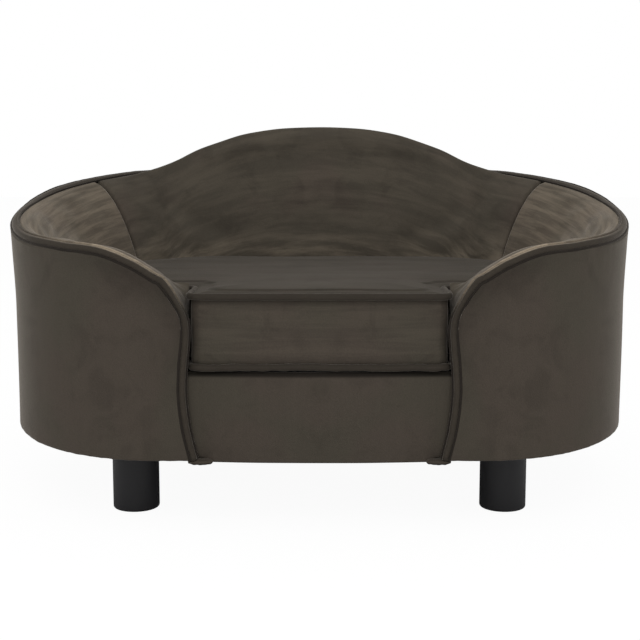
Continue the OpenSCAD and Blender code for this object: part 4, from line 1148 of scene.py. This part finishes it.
def joinPlates(name, plates, material):
    # closed plates, each an outline in x and z between two depths
    points, faces = [], []
    for outline, y0, y1 in plates:
        base, n = len(points), len(outline)
        points += [(x, y0, z) for x, z in outline] + [(x, y1, z) for x, z in outline]
        faces += [tuple(range(base, base + n)), tuple(reversed(range(base + n, base + 2 * n)))]
        faces += [(base + j, base + j + n, base + (j + 1) % n + n, base + (j + 1) % n) for j in range(n)]
    return turnOut(makeMesh(name, points, faces, material))


topY = zipper["y"] - zipper["depth"] + tub["lay"]
backY = zipper["y"] - zipper["depth"] - 2.5
wingY = topY + slider["wing"]
wing = roundedSlab(-slider["length"] / 2, slider["length"] / 2, slider["width"] / 2, 2.4)
zipSlider = joinPlates("zip_slider_and_pull", [
    (wing, topY, wingY), (wing, backY - slider["back"], backY),
    (roundedSlab(-1.2, 1.2, 0.4, 0.2, 2), backY, topY + 0.1),
    (roundedSlab(-4.5, 3.5, 1.0, 0.6, 3), wingY, wingY + 1.1),
    (roundedSlab(-slider["pull"], 0, slider["pullWidth"] / 2, 2.2), wingY + 0.1, wingY + 1.2)], antiqueSteel)
settle(zipSlider, "BEVEL", width=slider["edge"] * mm, segments=2)
dress(zipSlider, "steel", "zip_slider", "zip_slider")
print("zip ready")

# feet: turned shape with a rounded lower edge, a hollow underside and a collar
foot = dict(diameter=47, height=71.5, round=2.8, recess=16.5, recessDepth=1.2, collar=3.2, gapX=375,
            gapY=300, sides=96)


def footProfile():
    r, rr, top, hollow = foot["diameter"] / 2, foot["round"], foot["height"], foot["recessDepth"]
    profile = [(0, hollow), (foot["recess"] - 0.8, hollow), (foot["recess"], hollow * 0.5),
               (foot["recess"] + 0.3, 0)]
    profile += [(r - rr + rr * math.sin(t), rr - rr * math.cos(t)) for t in quarter(12)]
    profile += [(r, rr + 0.4), (r, 20), (r, 40), (r, 60), (r, top - foot["collar"])]
    return profile + [(r - 0.5, top - 2.6), (r - 0.5, top - 0.4), (r - 0.9, top), (0, top)]


profile = footProfile()
for name, sx, sy in (("foot_front_left", -1, -1), ("foot_front_right", 1, -1), ("foot_back_left", -1, 1),
                     ("foot_back_right", 1, 1)):
    points = []
    for j in range(foot["sides"]):
        a = 2 * math.pi * j / foot["sides"]
        points += [(sx * foot["gapX"] / 2 + r * math.cos(a), sy * foot["gapY"] / 2 + r * math.sin(a), z)
                   for r, z in profile]
    piece = makeMesh(name + "_moulded", points, gridFaces(foot["sides"], len(profile), wrapRows=True),
                     footPlastic)
    dress(turnOut(piece), "foot_plastic", "sofa_body", name)
print("feet ready")

# lining under the sofa with its staples, and the cover of the deck
lining = dict(inset=11, thickness=0.8, sag=1.4, rings=14, cornerStops=60, backStops=12, lay=0.05)
staples = dict(length=10, height=0.6, spacing=32, inset=13.4, skew=0.06, seed=7)
deck = dict(inset=1.2, thickness=1.2, cloth=0.7, wave=0.25, cut=0.6, step=6.0, rings=16)
sheetShrink = 0.88


def ringSheet(name, rings, middle, thickness, offset):
    # a sheet from its edge to its middle point, given its thickness
    count = len(rings[0])
    points = [p for ring in rings for p in ring] + [middle]
    faces = gridFaces(len(rings), count, wrapColumns=True)
    faces += fan((len(rings) - 1) * count, count, len(points) - 1)
    piece = makeMesh(name, points, faces, spunbond)
    piece.data.flip_normals()
    return settle(piece, "SOLIDIFY", thickness=thickness * mm, offset=offset)


def liningPoint(x, y, share):
    x, y = x * share, y * share
    drop = lining["sag"] * (1 - share ** 6) * (0.6 + 0.4 * ripple((x, y, 0), 70, 4.4))
    return x, y, tub["clearance"] - lining["lay"] - max(drop, 0)


around = bothSides(roundStops(lining["cornerStops"], lining["backStops"]))
frontLimit = rail["backY"] - 0.6
liningLine = [spot(s, wallR(s, tub["clearance"]) + lining["inset"], 0)[:2] for s in around]
liningLine = [(x, max(y, frontLimit)) for x, y in liningLine]
shares = [1 - i / lining["rings"] * sheetShrink for i in range(lining["rings"] + 1)]
rings = [[liningPoint(x, y, share) for x, y in liningLine] for share in shares]
dustCover = ringSheet("lining_sheet", rings, liningPoint(0, 0, 0), lining["thickness"], 1)
dress(dustCover, "lining", "sofa_body", "dust_cover")

stapleTree, group = buildTree("staples along an edge", {
    "Length": "Float", "Wire": "Float", "Spacing": "Float", "Skew": "Float", "Seed": "Int"})
line = addNode(stapleTree, "GeometryNodeMeshToCurve", {"Mesh": group["Geometry"]})
places = addNode(stapleTree, "GeometryNodeCurveToPoints", {"Curve": line, "Length": group["Spacing"]},
                 mode="LENGTH")
size = addNode(stapleTree, "ShaderNodeCombineXYZ", {0: group["Wire"], 1: group["Wire"], 2: group["Length"]})
crown = addNode(stapleTree, "GeometryNodeMeshCube", {"Size": size})
least = addNode(stapleTree, "ShaderNodeMath", {0: group["Skew"], 1: -1.0}, operation="MULTIPLY")
skew = addNode(stapleTree, "FunctionNodeRandomValue", {0: least, 1: group["Skew"], "Seed": group["Seed"]},
               data_type="FLOAT_VECTOR")
upright = addNode(stapleTree, "GeometryNodeInstanceOnPoints",
                  {"Points": places, "Instance": crown, "Rotation": places.outputs["Rotation"]})
endTree(stapleTree, group, addNode(stapleTree, "GeometryNodeRotateInstances",
                                   {"Instances": upright, "Rotation": skew}))
stapleZ = tub["clearance"] - lining["thickness"] - staples["height"] / 2 - 0.1
stapleLine = [np.append(spot(s, wallR(s, tub["clearance"]) + staples["inset"], 0)[:2], stapleZ)
              for s in around if s[1] > frontLimit + 4]
stapleRow = grow("lining_staples", polyline("staple_line", stapleLine, False), stapleTree, {
    "Length": staples["length"] * mm, "Wire": staples["height"] * mm, "Spacing": staples["spacing"] * mm,
    "Skew": staples["skew"], "Seed": staples["seed"], "Finish": zinc})
dress(stapleRow, "steel", "sofa_body", "dust_cover_staples")


def deckPoint(x, y, share):
    wave = deck["wave"] * (1 + ripple((x * share, y * share, 0), 30, 2.2)) * (share < 0.99)
    return (x * share, cushionMidY + (y - cushionMidY) * share,
            deckHeight + deck["thickness"] - lining["lay"] - wave)


deckLine = wellOutline(deck["inset"], rail["backY"], cushion["round"], deck["cut"], deck["step"])
shares = [1 - i / deck["rings"] * sheetShrink for i in range(deck["rings"] + 1)]
middle = (0, cushionMidY, deckHeight + deck["thickness"] - lining["lay"]
          - deck["wave"] * (1 + ripple((0, cushionMidY, 0), 30, 2.2)))
rings = [[deckPoint(x, y, share) for x, y in deckLine] for share in shares]
deckCover = ringSheet("deck_lining_sheet", rings, middle, deck["cloth"], -1)
dress(deckCover, "lining", "sofa_body", "deck_cover")
print("linings ready")

# camera, floor and light
view = dict(lens=70.83, pitch=7.795, place=(0, -1.4048, 0.3646), shiftX=0.0008)
cameraData = bpy.data.cameras.new("camera")
cameraData.lens = view["lens"]
cameraData.sensor_width = 36
cameraData.shift_x = view["shiftX"]
camera = bpy.data.objects.new("camera", cameraData)
camera.location = view["place"]
camera.rotation_euler = (math.radians(90 - view["pitch"]), 0, 0)
scene.collection.objects.link(camera)
scene.camera = camera

reach = 8000
floor = makeMesh("floor", [(-reach, -reach, 0), (reach, -reach, 0), (reach, reach, 0), (-reach, reach, 0)],
                 [(0, 1, 2, 3)])
floorMaterial = bpy.data.materials.new("studio floor, white paper")
tree = emptyTree(floorMaterial)
paper = addNode(tree, "ShaderNodeBsdfDiffuse", {"Color": linear("F4F4F4")})
glow = addNode(tree, "ShaderNodeEmission", {"Color": (1, 1, 1, 1), "Strength": 1.03})
ray = addNode(tree, "ShaderNodeLightPath")
seen = addNode(tree, "ShaderNodeMath", {0: ray.outputs["Is Camera Ray"], 1: 0.92}, operation="MULTIPLY")
mixed = addNode(tree, "ShaderNodeMixShader", {0: seen, 1: paper, 2: glow})
addNode(tree, "ShaderNodeOutputMaterial", {"Surface": mixed})
floor.data.materials.append(floorMaterial)

light = dict(ambient=0.55, glossy=0.3, key=19, keySize=2.0, top=3, side=6, sideSize=1.2)
world = bpy.data.worlds.new("studio")
scene.world = world
tree = emptyTree(world)
ray = addNode(tree, "ShaderNodeLightPath")
seen = addNode(tree, "ShaderNodeMath",
               {0: ray.outputs["Is Camera Ray"], 1: ray.outputs["Is Transmission Ray"]}, operation="MAXIMUM")
mirrored = addNode(tree, "ShaderNodeMapRange", {"Value": ray.outputs["Is Glossy Ray"],
                                                "To Min": light["ambient"], "To Max": light["glossy"]})
level = addNode(tree, "ShaderNodeMix", {0: seen, 2: mirrored, 3: 1.0}, data_type="FLOAT")
sky = addNode(tree, "ShaderNodeBackground", {"Color": (1, 1, 1, 1), "Strength": level})
addNode(tree, "ShaderNodeOutputWorld", {"Surface": sky})


def softbox(name, place, size, power):
    # a square lamp turned toward the sofa
    lampData = bpy.data.lights.new(name, "AREA")
    lampData.shape = "SQUARE"
    lampData.size = size
    lampData.energy = power
    lamp = bpy.data.objects.new(name, lampData)
    lamp.location = place
    lamp.rotation_euler = (Vector((0, 0, 0.2)) - Vector(place)).to_track_quat("-Z", "Y").to_euler()
    scene.collection.objects.link(lamp)


softbox("front key", (0, -2.1, 1.7), light["keySize"], light["key"])
softbox("overhead", (0, 0.2, 2.2), light["keySize"], light["top"])
softbox("left side", (-2.0, -0.6, 0.9), light["sideSize"], light["side"])
softbox("right side", (2.0, -0.6, 0.9), light["sideSize"], light["side"])
scene.view_settings.view_transform = "Standard"
print("camera, floor and light ready")
